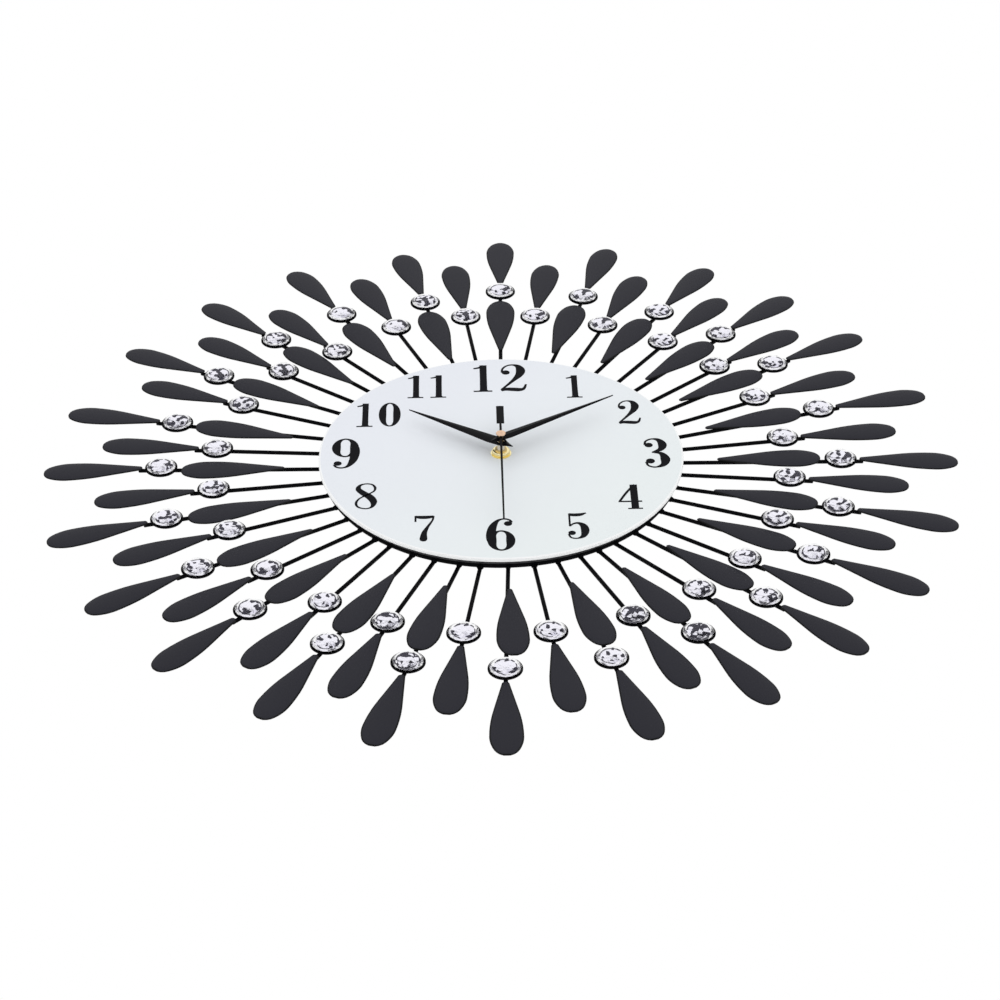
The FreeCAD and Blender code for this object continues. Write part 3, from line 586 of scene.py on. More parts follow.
def make_finishes():
    """Every finish of the clock, by name."""
    return {
        "dial_glass": dial_paint(),
        # Teardrops: the near-black edge colour is painted shade along the rolled edge.
        "drop_coat": coated("drop_charcoal", (0.015, 0.015, 0.022), (0.022, 0.022, 0.030),
                            (0.46, 0.6), 1400.0, 3e-5, specular=0.13, cloud=10.0, dust=0.02,
                            edge_shade=(0.0015, 0.0015, 0.002)),
        "wire_coat": coated("wire_black", (0.001, 0.001, 0.0015), (0.003, 0.003, 0.004),
                            (0.4, 0.55), 1100.0, 3e-5, specular=0.03, cloud=40.0),
        "plate_coat": coated("plate_black", (0.018, 0.018, 0.02), (0.032, 0.032, 0.035),
                             (0.5, 0.66), 700.0, 5e-5, cloud=12.0, dust=0.12),
        "hand_black": coated("hand_satin_black", (0.002, 0.002, 0.003), (0.006, 0.006, 0.007),
                             (0.3, 0.42), 900.0, 1e-5, specular=0.045, cloud=60.0),
        "dial_ink": coated("dial_ink", (0.003, 0.003, 0.005), (0.007, 0.007, 0.009),
                           (0.5, 0.62), 800.0, 1e-5, specular=0.04, cloud=90.0),
        "case_plastic": with_brass_bush(
            coated("case_plastic", (0.018, 0.018, 0.019), (0.03, 0.03, 0.032),
                   (0.42, 0.58), 520.0, 8e-5, cloud=30.0, dust=0.1)),
        "knob_plastic": coated("knob_plastic", (0.012, 0.012, 0.013), (0.024, 0.024, 0.026),
                               (0.35, 0.5), 700.0, 4e-5, cloud=60.0, dust=0.08),
        "train_plastic": coated("train_plastic", (0.70, 0.66, 0.55), (0.82, 0.79, 0.70),
                                (0.35, 0.5), 900.0, 2e-5, cloud=120.0),
        "bobbin_plastic": coated("bobbin_plastic", (0.62, 0.58, 0.46), (0.74, 0.70, 0.60),
                                 (0.35, 0.5), 900.0, 2e-5, cloud=120.0),
        "rubber": coated("bumper_rubber", (0.014, 0.014, 0.014), (0.026, 0.026, 0.026),
                         (0.7, 0.85), 600.0, 6e-5, specular=0.2, cloud=50.0, dust=0.15),
        "foam": coated("foam_tape", (0.60, 0.60, 0.57), (0.78, 0.78, 0.75),
                       (0.8, 0.95), 1500.0, 2e-4, specular=0.1, cloud=90.0),
        "board": coated("phenolic_board", (0.20, 0.13, 0.05), (0.30, 0.20, 0.09),
                        (0.45, 0.6), 600.0, 3e-5, cloud=150.0),
        "chip_resin": coated("chip_resin", (0.008, 0.008, 0.008), (0.016, 0.016, 0.016),
                             (0.15, 0.3), 300.0, 5e-5, specular=0.6, cloud=200.0),
        "ferrite": coated("rotor_ferrite", (0.03, 0.03, 0.032), (0.06, 0.06, 0.062),
                          (0.5, 0.65), 900.0, 3e-5, cloud=300.0),
        "brass": metal("nut_brass", (0.86, 0.70, 0.30), (1.0, 0.93, 0.62), (0.1, 0.24), 700.0),
        "rose_brass": metal("cap_rose_brass", (0.62, 0.36, 0.26), (0.95, 0.74, 0.52), (0.14, 0.3), 700.0,
                            stain_scale=420.0),
        "pipe_brass": metal("pipe_brass", (0.58, 0.40, 0.16), (0.80, 0.60, 0.28), (0.2, 0.36), 900.0),
        "cup_plate": metal("cup_bright_plate", (0.70, 0.70, 0.74), (0.92, 0.92, 0.95), (0.05, 0.16), 900.0),
        "crystal_foil": silvered_facets(),
        "zinc": metal("zinc_plate", (0.45, 0.46, 0.48), (0.68, 0.69, 0.70), (0.28, 0.45), 350.0, 4e-5),
        "rivet": metal("rivet_aluminium", (0.55, 0.55, 0.57), (0.78, 0.78, 0.80), (0.3, 0.45), 400.0),
        "steel": metal("arbor_steel", (0.48, 0.48, 0.50), (0.70, 0.70, 0.72), (0.15, 0.3), 900.0),
        "lamination": metal("lamination_steel", (0.30, 0.30, 0.32), (0.48, 0.48, 0.50), (0.3, 0.5), 500.0),
        "nickel": metal("contact_nickel", (0.55, 0.53, 0.50), (0.78, 0.76, 0.72), (0.15, 0.3), 600.0),
        "crystal": clear_crystal(),
        "copper": winding_copper(),
        "cell": cell_jacket(),
    }


finishes = make_finishes()

CARRIED_OVER = {
    "dial_foam_ring": "foam", "back_plate": "plate_coat", "wall_posts": "zinc",
    "wall_bumpers": "rubber", "post_screws": "zinc", "hanger_strap": "plate_coat",
    "hanger_rivets": "rivet", "movement_case": "case_plastic", "movement_cover": "case_plastic",
    "rubber_washer": "rubber", "brass_washer": "brass", "stator": "lamination",
    "coil_core": "lamination", "coil_bobbin": "bobbin_plastic", "coil_winding": "copper",
    "circuit_board": "board", "clock_chip": "chip_resin", "quartz_can": "nickel",
    "battery": "cell", "battery_contacts": "nickel", "second_arbor": "steel",
    "second_wheel": "train_plastic", "minute_pipe": "pipe_brass", "centre_wheel": "train_plastic",
    "hour_wheel": "train_plastic", "third_wheel": "train_plastic",
    "intermediate_wheel": "train_plastic", "rotor_pinion": "train_plastic",
    "rotor_magnet": "ferrite", "setting_wheel": "knob_plastic",
}


def finish_carried_over():
    """CAD pieces keep their shape and get their finish."""
    for node, finish in CARRIED_OVER.items():
        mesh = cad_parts[node].data
        mesh.materials.clear()
        mesh.materials.append(finishes[finish])


# ----------------------------------------------------------- dial and numerals
def make_glass():
    """Glass disc turned from one outline: bore, flat back, polished round edge, flat front."""
    edge = rounded(GLASS_R, GLASS_BACK, GLASS_FRONT, 1.1, 6)
    profile = np.concatenate([[[BUSH_HOLE_R, GLASS_BACK]], edge,
                              [[GLASS_R - 5, GLASS_FRONT], [BUSH_HOLE_R, GLASS_FRONT]]])
    shell = Shell()
    add_lathe(shell, profile, steps=256)
    shell.piece("dial_disc", "clock_body", "dial_glass", finishes["dial_glass"], ["dial_glass"], 25)


def make_ring():
    """Rim ring: a small circle carried round a large one, as a torus."""
    around = np.linspace(0, 2 * np.pi, 16, endpoint=False)
    middle = PLATE_BACK - RING_WIRE_R
    profile = np.stack([RING_R + RING_WIRE_R * np.cos(around),
                        middle + RING_WIRE_R * np.sin(around)], axis=-1)
    shell = Shell()
    add_lathe(shell, profile, steps=240)
    shell.piece("rim_wire", "clock_body", "powder_coat_gloss", finishes["wire_coat"], ["rim_ring"], 60)


def smooth_path(points, steps=8, closed=False):
    """Catmull-Rom curve through rows of numbers: a cubic blend of each four rows in turn."""
    p = np.asarray(points, dtype=float)
    if closed:
        p = np.concatenate([p[-1:], p, p[:2]])
    else:
        p = np.concatenate([2 * p[:1] - p[1:2], p, 2 * p[-1:] - p[-2:-1]])
    t = np.linspace(0, 1, steps, endpoint=False)[None, :, None]
    a, b, c, d = p[:-3, None], p[1:-2, None], p[2:-1, None], p[3:, None]
    curve = 0.5 * (2 * b + (c - a) * t + (2 * a - 5 * b + 4 * c - d) * t ** 2
                   + (3 * b - a - 3 * c + d) * t ** 3)
    curve = curve.reshape(-1, p.shape[1])
    return curve if closed else np.concatenate([curve, p[-2:-1]])


INK_LOW, INK_HIGH, INK_STEP = GLASS_FRONT - 0.02, GLASS_FRONT + 0.06, 0.012


def pen_stroke(shell, points, place, top, closed=False, steps=8):
    """A pen stroke: rows of (x, y, half width); its edges stand half a width either side of the path."""
    path = smooth_path(points, steps, closed)
    path[:, 2] = np.maximum(path[:, 2] + 0.004, 0.022)
    if closed:
        ahead, behind = np.roll(path[:, :2], -1, axis=0), np.roll(path[:, :2], 1, axis=0)
        along = ahead - behind
    else:
        along = np.gradient(path[:, :2], axis=0)
    along /= np.linalg.norm(along, axis=1, keepdims=True)
    side = np.stack([-along[:, 1], along[:, 0]], axis=-1) * path[:, 2:3]
    left, right = place(path[:, :2] + side), place(path[:, :2] - side)
    low, high = np.full((len(path), 1), INK_LOW), np.full((len(path), 1), top)
    rings = np.stack([np.hstack([left, low]), np.hstack([left, high]),
                      np.hstack([right, high]), np.hstack([right, low])], axis=1)
    shell.add_rings(rings, closed_path=closed)


def ink_dot(shell, x, y, radius, place, top):
    """A round ball terminal: a short upright cylinder of ink."""
    a = np.linspace(0, 2 * np.pi, 24, endpoint=False)
    rim = place(np.stack([x + radius * np.cos(a), y + radius * np.sin(a)], axis=-1))
    rings = np.stack([np.hstack([rim, np.full((24, 1), z)]) for z in (INK_LOW, top)])
    shell.add_rings(rings)


def oval(cx, cy, rx, ry, thin, thick):
    """Closed oval stroke whose pen is thick at the sides and thin at top and bottom."""
    a = np.linspace(0, 2 * np.pi, 28, endpoint=False)
    pen = thin + (thick - thin) * np.abs(np.cos(a)) ** 1.6
    return np.stack([cx + (rx - pen) * np.cos(a), cy + (ry - pen) * np.sin(a), pen], axis=-1)


# High-contrast numerals: each is a list of pen strokes (x, y, half width) and
# ball terminals (x, y, radius), for a figure one unit tall.
NINE_TAIL = [(0.40, 0.80, 0.05), (0.425, 0.66, 0.08), (0.425, 0.46, 0.082), (0.385, 0.24, 0.066),
             (0.30, 0.07, 0.03), (0.19, 0.016, 0.015), (0.09, 0.05, 0.018), (0.05, 0.13, 0.022)]
FIGURES = {
    "0": {"width": 0.49, "loops": [oval(0.245, 0.5, 0.245, 0.5, 0.018, 0.082)]},
    "1": {"width": 0.37,
          "strokes": [[(0.205, 0.0, 0.069), (0.205, 0.5, 0.065), (0.205, 0.985, 0.067)],
                      [(0.01, 0.016, 0.016), (0.19, 0.018, 0.018), (0.375, 0.016, 0.016)],
                      [(0.12, 0.03, 0.012), (0.205, 0.05, 0.045), (0.29, 0.03, 0.012)],
                      [(0.20, 0.975, 0.016), (0.12, 0.895, 0.024), (0.015, 0.862, 0.016)]]},
    "2": {"width": 0.53,
          "strokes": [[(0.05, 0.70, 0.02), (0.065, 0.84, 0.017), (0.15, 0.95, 0.018), (0.26, 0.982, 0.02),
                       (0.37, 0.925, 0.055), (0.42, 0.77, 0.088), (0.385, 0.60, 0.072), (0.28, 0.42, 0.04),
                       (0.15, 0.23, 0.024), (0.035, 0.07, 0.02)],
                      [(0.025, 0.03, 0.03), (0.12, 0.075, 0.05), (0.27, 0.065, 0.06), (0.39, 0.055, 0.055),
                       (0.47, 0.10, 0.03), (0.515, 0.25, 0.014)]],
          "dots": [(0.125, 0.70, 0.08)]},
    "3": {"width": 0.50,
          "strokes": [[(0.05, 0.78, 0.02), (0.075, 0.91, 0.018), (0.19, 0.985, 0.017),
                       (0.32, 0.945, 0.048), (0.385, 0.79, 0.08), (0.345, 0.63, 0.055),
                       (0.20, 0.535, 0.015)],
                      [(0.17, 0.53, 0.015), (0.34, 0.48, 0.045), (0.41, 0.29, 0.088), (0.365, 0.10, 0.055),
                       (0.21, 0.016, 0.016), (0.08, 0.07, 0.018), (0.045, 0.20, 0.02)]],
          "dots": [(0.125, 0.775, 0.078), (0.125, 0.225, 0.084)]},
    "4": {"width": 0.53,
          "strokes": [[(0.365, 0.0, 0.08), (0.365, 0.5, 0.08), (0.365, 0.97, 0.08)],
                      [(0.39, 0.97, 0.024), (0.20, 0.66, 0.026), (0.025, 0.305, 0.024)],
                      [(0.0, 0.298, 0.022), (0.26, 0.298, 0.022), (0.53, 0.298, 0.022)],
                      [(0.20, 0.015, 0.015), (0.36, 0.015, 0.015), (0.53, 0.015, 0.015)]]},
    "5": {"width": 0.51,
          "strokes": [[(0.075, 0.935, 0.045), (0.19, 0.915, 0.052), (0.33, 0.925, 0.05), (0.46, 0.985, 0.014)],
                      [(0.088, 0.97, 0.016), (0.088, 0.72, 0.016), (0.088, 0.48, 0.016)],
                      [(0.088, 0.485, 0.014), (0.17, 0.575, 0.022), (0.28, 0.595, 0.035), (0.385, 0.49, 0.074),
                       (0.415, 0.30, 0.088), (0.365, 0.10, 0.055), (0.23, 0.016, 0.016), (0.10, 0.05, 0.018),
                       (0.05, 0.18, 0.02)]],
          "dots": [(0.125, 0.225, 0.082)]},
    "7": {"width": 0.44,
          "strokes": [[(0.03, 0.985, 0.014), (0.03, 0.87, 0.014), (0.03, 0.75, 0.014)],
                      [(0.03, 0.95, 0.036), (0.14, 0.925, 0.055), (0.29, 0.925, 0.055), (0.43, 0.95, 0.036)],
                      [(0.428, 0.97, 0.016), (0.40, 0.80, 0.018), (0.30, 0.56, 0.03), (0.225, 0.33, 0.056),
                       (0.205, 0.10, 0.082)]],
          "dots": [(0.205, 0.083, 0.083)]},
    "8": {"width": 0.51,
          "loops": [[(0.25, 0.984, 0.015), (0.12, 0.93, 0.03), (0.08, 0.78, 0.06), (0.19, 0.62, 0.076),
                     (0.34, 0.46, 0.086), (0.42, 0.28, 0.075), (0.39, 0.09, 0.032), (0.26, 0.016, 0.016),
                     (0.09, 0.08, 0.022), (0.04, 0.24, 0.026), (0.11, 0.41, 0.018), (0.28, 0.56, 0.014),
                     (0.42, 0.69, 0.018), (0.445, 0.83, 0.026), (0.38, 0.95, 0.02)]]},
    "9": {"width": 0.50, "loops": [oval(0.245, 0.69, 0.245, 0.31, 0.014, 0.078)],
          "strokes": [NINE_TAIL], "dots": [(0.115, 0.165, 0.074)]},
}

# What each hour shows: its figures with their left edges, its height, and its centre.
HOURS = [
    ([("1", 0.0), ("2", 0.525)], 36.0, (1.0, 97.9)), ([("1", 0.0)], 30.0, (53.0, 85.1)),
    ([("2", 0.0)], 30.3, (89.8, 49.8)), ([("3", 0.0)], 36.0, (105.5, -2.6)),
    ([("4", 0.0)], 29.6, (84.6, -54.7)), ([("5", 0.0)], 30.0, (48.4, -87.8)),
    ([("6", 0.0)], 36.6, (-2.0, -96.3)), ([("7", 0.0)], 30.0, (-52.1, -87.8)),
    ([("8", 0.0)], 30.5, (-90.8, -49.0)), ([("9", 0.0)], 36.8, (-105.9, 3.5)),
    ([("1", 0.0), ("0", 0.515)], 30.5, (-84.2, 52.0)), ([("1", 0.0), ("1", 0.53)], 30.2, (-50.8, 88.2)),
]


def figure_parts(figure):
    """A six is a nine turned half way round."""
    shape = FIGURES["9" if figure == "6" else figure]
    return shape, (figure == "6")


def ink_figure(shell, figure, left, height, middle, total):
    """Ink one figure; each stroke's face lies a hair above the last, so that none coincide."""
    shape, turned = figure_parts(figure)

    def place(points):
        """Figure units, 0 to 1 high, to the dial: (p + left edge - half the width) times height."""
        p = np.asarray(points, dtype=float)
        if turned:
            p = np.array([shape["width"], 1.0]) - p
        return (p + [left - total / 2, -0.5]) * height + middle

    top = INK_HIGH
    for stroke in shape.get("strokes", []):
        pen_stroke(shell, stroke, place, top)
        top += INK_STEP
    for loop in shape.get("loops", []):
        pen_stroke(shell, loop, place, top, closed=True, steps=5)
        top += INK_STEP
    for x, y, radius in shape.get("dots", []):
        ink_dot(shell, x, y, radius, place, top)


def make_numerals():
    """The twelve hours in ink on the dial."""
    shell = Shell()
    for figures, height, centre in HOURS:
        last, left = figures[-1]
        total = left + figure_parts(last)[0]["width"]
        for figure, left in figures:
            ink_figure(shell, figure, left, height, np.array(centre), total)
    shell.piece("dial_numerals", "clock_body", "hand_black", finishes["dial_ink"], smooth=0)


# ---------------------------------------------------------------------- rays
def at_ray(radius, angle):
    """Point on the wires' level at a radius and an angle clockwise from 12."""
    a = math.radians(angle)
    return np.array([radius * math.sin(a), radius * math.cos(a), RAY_LEVEL])


def wire_rings(root, angle, reach, sides=10):
    """A straight wire from its root on the rim ring to its end.

    Rings stand square to the run, and their radius falls off over the last
    half millimetre at either end.
    """
    start = at_ray(RAY_START, root)
    run = at_ray(reach, angle) - start
    length = np.linalg.norm(run)
    run /= length
    across = np.array([run[1], -run[0], 0.0])
    along = np.array([0.0, 0.4, length / 2, length - 0.5, length])[:, None, None]
    radius = RAY_WIRE_R * np.array([0.7, 1.0, 1.0, 1.0, 0.6])[:, None, None]
    a = np.linspace(0, 2 * np.pi, sides, endpoint=False)[None, :, None]
    return start + run * along + radius * (across * np.cos(a) + np.array([0.0, 0.0, 1.0]) * np.sin(a))


def make_wires():
    """The ray wires of each kind, one straight run per ray."""
    for name, end, roots, angles, insets, node in (
            ("long_wires", LONG_END, LONG_ROOTS, LONG_RAYS, LONG_INSET, "long_ray_wires"),
            ("short_wires", SHORT_END, SHORT_ROOTS, SHORT_RAYS, SHORT_INSET, "short_ray_wires")):
        shell = Shell()
        for root, angle, inset in zip(roots, angles, insets):
            shell.add_rings(wire_rings(root, angle, end - inset))
        shell.piece(name, "clock_body", "powder_coat_gloss", finishes["wire_coat"], [node], 50)


def blob_rings(at, height, size, sides=10, rows=6):
    """An egg-shaped weld bead at distance `at`: half axes `size` in x, y and z."""
    up = np.linspace(0.12, np.pi - 0.12, rows)[:, None]
    round_ = np.linspace(0, 2 * np.pi, sides, endpoint=False)[None, :]
    x = size[0] * np.sin(up) * np.cos(round_)
    y = at + size[1] * np.cos(up) + 0 * round_
    z = height + size[2] * np.sin(up) * np.sin(round_)
    return np.stack([x, y, z], axis=-1)


def make_welds():
    """A weld bead where each ray meets the rim ring, no two quite the same size."""
    shell = Shell()
    for i, angle in enumerate(np.concatenate([LONG_ROOTS, SHORT_ROOTS])):
        grow = 1.0 + 0.16 * math.sin(5.1 * i)
        bead = blob_rings(RING_R + RING_WIRE_R + 0.3, RAY_LEVEL + 0.3, (2.1 * grow, 2.4, 1.7))
        shell.add_rings(clockwise(bead, angle))
    shell.piece("weld_beads", "clock_body", "powder_coat_gloss", finishes["wire_coat"], smooth=60)


def drop_half_width(s, length):
    """Half width of a teardrop at distance s from its round end.

    A small end arc and a wide shoulder arc give the round end, a long side arc
    turns inwards, and a straight taper runs on to the neck.
    """
    wide, cap, down, side, turn = 10.5, 8.4, 17.0, 108.0, math.radians(12.3)
    shoulder = (wide ** 2 + (down - cap) ** 2 - cap ** 2) / (2 * (wide - cap))
    meet = cap - cap * math.sin(math.atan2(down - cap, shoulder - wide))
    end_arc = np.sqrt(np.maximum(cap ** 2 - (cap - s) ** 2, 0))
    shoulder_arc = wide - shoulder + np.sqrt(np.maximum(shoulder ** 2 - (down - s) ** 2, 0))
    side_arc = wide - side + np.sqrt(np.maximum(side ** 2 - (s - down) ** 2, 0))
    corner_s, corner_w = down + side * math.sin(turn), wide - side * (1 - math.cos(turn))
    taper = corner_w - (s - corner_s) * math.tan(turn)
    width = np.where(s < meet, end_arc, np.where(s < down, shoulder_arc,
                     np.where(s < corner_s, side_arc, taper)))
    neck_end = np.sqrt(np.clip((length - s) / 1.2, 0.0, 1.0))
    return np.maximum(width * neck_end, 0.05)


DROP_BACK, DROP_SHEET, DROP_CROWN = ON_WIRES + 0.01, 0.8, 0.75


def drooped(rings, wire_end, degrees):
    """Lean a teardrop to the wall about its wire's end: y and z turn together by the angle."""
    a = math.radians(-degrees)
    y, z = rings[..., 1] - wire_end, rings[..., 2] - ON_WIRES
    turned = [rings[..., 0], wire_end + y * math.cos(a) - z * math.sin(a),
              ON_WIRES + y * math.sin(a) + z * math.cos(a)]
    return np.stack(turned, axis=-1)


def drop_rings(tip, length):
    """A pressed teardrop along y: crossways it is a shallow arch, and its edge is rolled round.

    Crossways u runs -1 to 1 over the front and back again under it. The height
    is edge + crown (1 - u^2) times the share of the full width.
    """
    fine = 0.5 * (1 - np.cos(np.linspace(0, np.pi, 12)))
    s = np.concatenate([fine * 17.0, np.linspace(17, length - 1.2, 11)[1:],
                        length - 1.2 * np.array([0.6, 0.2, 0.0])])
    half = drop_half_width(s, length)
    u = np.array([-1, -0.97, -0.85, -0.55, 0, 0.55, 0.85, 0.97, 1])
    lift = DROP_CROWN * (half / 10.5)[:, None]
    edge = np.minimum(1.0, half / 1.5)[:, None]
    under = u[1:-1][::-1]
    roll = lambda v: 0.5 * edge * np.sqrt(np.clip(1 - v ** 8, 0, 1))
    front = DROP_BACK + DROP_SHEET * (0.5 + roll(u)) + lift * (1 - u ** 2)
    back = DROP_BACK + DROP_SHEET * (0.5 - roll(under)) + lift * (1 - under ** 2)
    x = half[:, None] * np.concatenate([u, under])[None, :]
    y = np.broadcast_to((tip - s)[:, None], x.shape)
    return np.stack([x, y, np.concatenate([front, back], axis=1)], axis=-1)


def drop_own(rings):
    """Distance from the outline: half width less |x|, or s near the round end."""
    half = np.abs(rings[..., 0]).max(axis=1, keepdims=True)
    s = rings[..., 1].max() - rings[..., 1]
    edge = np.minimum(half - np.abs(rings[..., 0]), s)
    return np.stack([edge, s, np.zeros(edge.shape)], axis=-1)


def make_drops():
    """Inner teardrops along the long rays, and one at the end of every ray."""
    inner = drop_rings(INNER_TIP, INNER_LENGTH)
    long_outer = drooped(drop_rings(LONG_TIP, OUTER_LENGTH), LONG_END, LONG_DROOP)
    short_outer = drooped(drop_rings(SHORT_TIP, OUTER_LENGTH), SHORT_END, SHORT_DROOP)
    for name, node, rings, angles, insets in (
            ("inner_teardrops", "inner_drops", inner, INNER_RAYS, LONG_INSET),
            ("long_teardrops", "long_outer_drops", long_outer, LONG_RAYS, LONG_INSET),
            ("short_teardrops", "short_outer_drops", short_outer, SHORT_RAYS, SHORT_INSET)):
        shell = Shell()
        shell.add_copies(rings, angles, insets, drop_own(rings))
        shell.piece(name, "clock_body", "drop_coat", finishes["drop_coat"], [node], 60)


# ------------------------------------------------------------------ crystals
CUP_R, CUP_WALL = 11.0, 0.8
CUP_FLOOR, CUP_TOP = ON_WIRES, ON_WIRES + 1.6


def cup_profile():
    """Black cup: flat floor, upright wall with a rolled lip."""
    return np.array([[0.4, CUP_FLOOR], [CUP_R - 0.5, CUP_FLOOR], [CUP_R, CUP_FLOOR + 0.5],
                     [CUP_R, CUP_TOP - 0.35], [CUP_R - 0.25, CUP_TOP], [CUP_R - CUP_WALL, CUP_TOP - 0.1],
                     [CUP_R - CUP_WALL, CUP_FLOOR + CUP_WALL], [0.4, CUP_FLOOR + CUP_WALL]])


def facet_ring(radius, height, count, shift=0.0):
    """Corners of one course of facets: `count` points round a circle, shifted by a share of a step."""
    a = 2 * np.pi * (np.arange(count) + shift) / count
    return np.stack([radius * np.cos(a), radius * np.sin(a), np.full(count, height)], axis=-1)


def crystal_courses():
    """Cut stone: an upright girdle, a course of girdle facets, a course of bezel facets, a flat table."""
    base = CUP_FLOOR + CUP_WALL
    return np.stack([facet_ring(9.6, base + 0.04, 16), facet_ring(10.15, base + 0.5, 16),
                     facet_ring(10.15, base + 1.35, 16), facet_ring(8.1, base + 3.0, 16, 0.5),
                     facet_ring(5.5, base + 3.8, 16)])


def crystal_faces(count=16):
    """Quads up the girdle, then triangles from course to course, and two flat ends."""
    j = np.arange(count)
    nxt = (j + 1) % count
    girdle, bezel, table = 2 * count, 3 * count, 4 * count
    walls = [(j, nxt, nxt + count, j + count), (j + count, nxt + count, nxt + girdle, j + girdle)]
    slopes = [(girdle + j, girdle + nxt, bezel + j), (girdle + nxt, bezel + nxt, bezel + j),
              (bezel + j, table + nxt, table + j), (bezel + j, bezel + nxt, table + nxt)]
    faces = [face for group in walls + slopes for face in np.stack(group, axis=-1).tolist()]
    faces.append(list(range(count))[::-1])
    faces.append(list(range(table, table + count)))
    return faces


def foil_courses():
    """Foil under the stone: eight long facets round a small flat, every other corner pushed up."""
    base = CUP_FLOOR + CUP_WALL
    push = np.where(np.arange(16) % 2 == 0, 0.0, 1.0)
    courses = np.stack([facet_ring(9.5, base + 0.10, 16), facet_ring(9.95, base + 1.25, 16),
                        facet_ring(7.4, base + 0.9, 16), facet_ring(6.4, base + 0.75, 16),
                        facet_ring(3.0, base + 0.5, 16), facet_ring(0.8, base + 0.3, 16)])
    courses[3, :, 2] += 0.3 * push
    courses[4, :, 2] += 0.25 * (1.0 - push)
    return courses


def make_crystals():
    """A black cup, a clear stone and its silvered back on every ray, each turned its own way."""
    faces = crystal_faces()
    for kind, at, angles, insets in (("long", LONG_CRYSTAL_AT, LONG_RAYS, LONG_INSET),
                                     ("short", SHORT_CRYSTAL_AT, SHORT_RAYS, SHORT_INSET)):
        cups, stones, foils = Shell(), Shell(), Shell()
        for i, (angle, inset) in enumerate(zip(angles, insets)):
            out = np.array([0.0, at - inset, 0.0])
            spin = 37.0 * i
            cups.add_rings(clockwise(lathe_rings(cup_profile(), steps=32) + out, angle),
                           closed_path=True)
            stones.add(clockwise(clockwise(crystal_courses(), spin) + out, angle), faces)
            foil = foil_courses()
            foils.add_rings(clockwise(clockwise(foil, spin + 6.0) + out, angle),
                            own=foil + [0.0, 0.0, 40.0 * i])
        cups.piece(kind + "_cups", "clock_body", "cup_plate", finishes["wire_coat"],
                   [kind + "_ray_cups"], 40)
        stones.piece(kind + "_stones", "clock_body", "crystal", finishes["crystal"],
                     [kind + "_ray_crystals"], 0)
        foils.piece(kind + "_foils", "clock_body", "cup_plate", finishes["crystal_foil"],
                    smooth=0)


# --------------------------------------------------------------------- hands
def hand_rings(radii, halves, back, thick, ridge):
    """A hand along y: at each distance a five-sided section, flat behind and ridged in front."""
    r, w = np.asarray(radii, dtype=float), np.asarray(halves, dtype=float)
    share = np.minimum(1.0, w / max(w.max(), 1e-6))[:, None]
    x = w[:, None] * np.array([-1.0, -1.0, 0.0, 1.0, 1.0])[None, :]
    lift = np.array([0.0, 0.35, 1.0, 0.35, 0.0])[None, :]
    crest = np.maximum(lift - 0.35, 0) / 0.65 * (0.4 + 0.6 * share)
    z = back + thick * np.minimum(lift, 0.35) + ridge * crest
    y = np.broadcast_to(r[:, None], x.shape)
    return np.stack([x, y, z], axis=-1)


def add_hub(shell, radius, low, high, bore):
    """A round collar with a soft outer edge and a bore, turned on the arbor axis."""
    edge = rounded(radius, low, high, min(0.3, (high - low) / 3), 4)
    profile = np.concatenate([[[bore, low]], edge, [[bore, high]]])
    add_lathe(shell, profile, steps=64)


def make_lance_hand(name, node, body, angle, back, length, widest, half, tail, bore):
    """Lance hand: a short pointed tail, widest just past the hub, then a straight taper to the tip."""
    heel = half * 0.8
    radii = [-tail, -tail * 0.6, -2.0, widest * 0.5, widest, length * 0.35, length * 0.7, length]
    taper = lambda r: half + (0.4 - half) * (r - widest) / (length - widest)
    halves = [0.15, heel * 0.45, heel, (heel + half) / 2, half,
              taper(length * 0.35), taper(length * 0.7), 0.4]
    shell = Shell()
    shell.add_rings(clockwise(hand_rings(radii, halves, back, 0.8, 0.75), angle))
    add_hub(shell, bore + 1.4, back - 0.02, back + 1.2, bore)
    shell.piece(name, body, "hand_black", finishes["hand_black"], [node], 20)


def make_second_hand():
    """Thin stick, counterweight plate and hub."""
    shell = Shell()
    stick = hand_rings([-15.0, 0.0, 60.0, 99.5], [0.78, 0.8, 0.68, 0.58],
                       SECOND_HAND_BACK, 0.6, 0.2)
    shell.add_rings(clockwise(stick, 180.0))
    weight = hand_rings([-36.5, -36.2, -14.8, -14.5], [2.45, 2.6, 2.6, 2.45],
                        SECOND_HAND_BACK, 0.7, 0.1)
    shell.add_rings(clockwise(weight, 180.0))
    add_hub(shell, 2.2, SECOND_HAND_BACK - 0.02, CAP_BACK, 0.8)
    shell.piece("second_pointer", "second_arbor_group", "hand_black", finishes["hand_black"],
                ["second_hand"], 20)


def make_cap():
    """Rose brass cap over the hands: a turned button with a rounded rim and a dished top."""
    a = np.linspace(0, np.pi / 2, 6)
    rim = np.stack([2.8 + 0.5 * np.cos(a), CAP_BACK + 0.68 + 0.5 * np.sin(a)], axis=-1)
    foot = [[0.05, CAP_BACK], [3.0, CAP_BACK], [3.3, CAP_BACK + 0.3]]
    dish = [[2.2, CAP_BACK + 1.1], [1.2, CAP_BACK + 0.95], [0.05, CAP_BACK + 0.9]]
    profile = np.concatenate([foot, rim, dish])
    shell = Shell()
    add_solid_lathe(shell, profile)
    shell.piece("cap_button", "second_arbor_group", "cap_brass", finishes["rose_brass"],
                ["second_hand_cap"], 35)


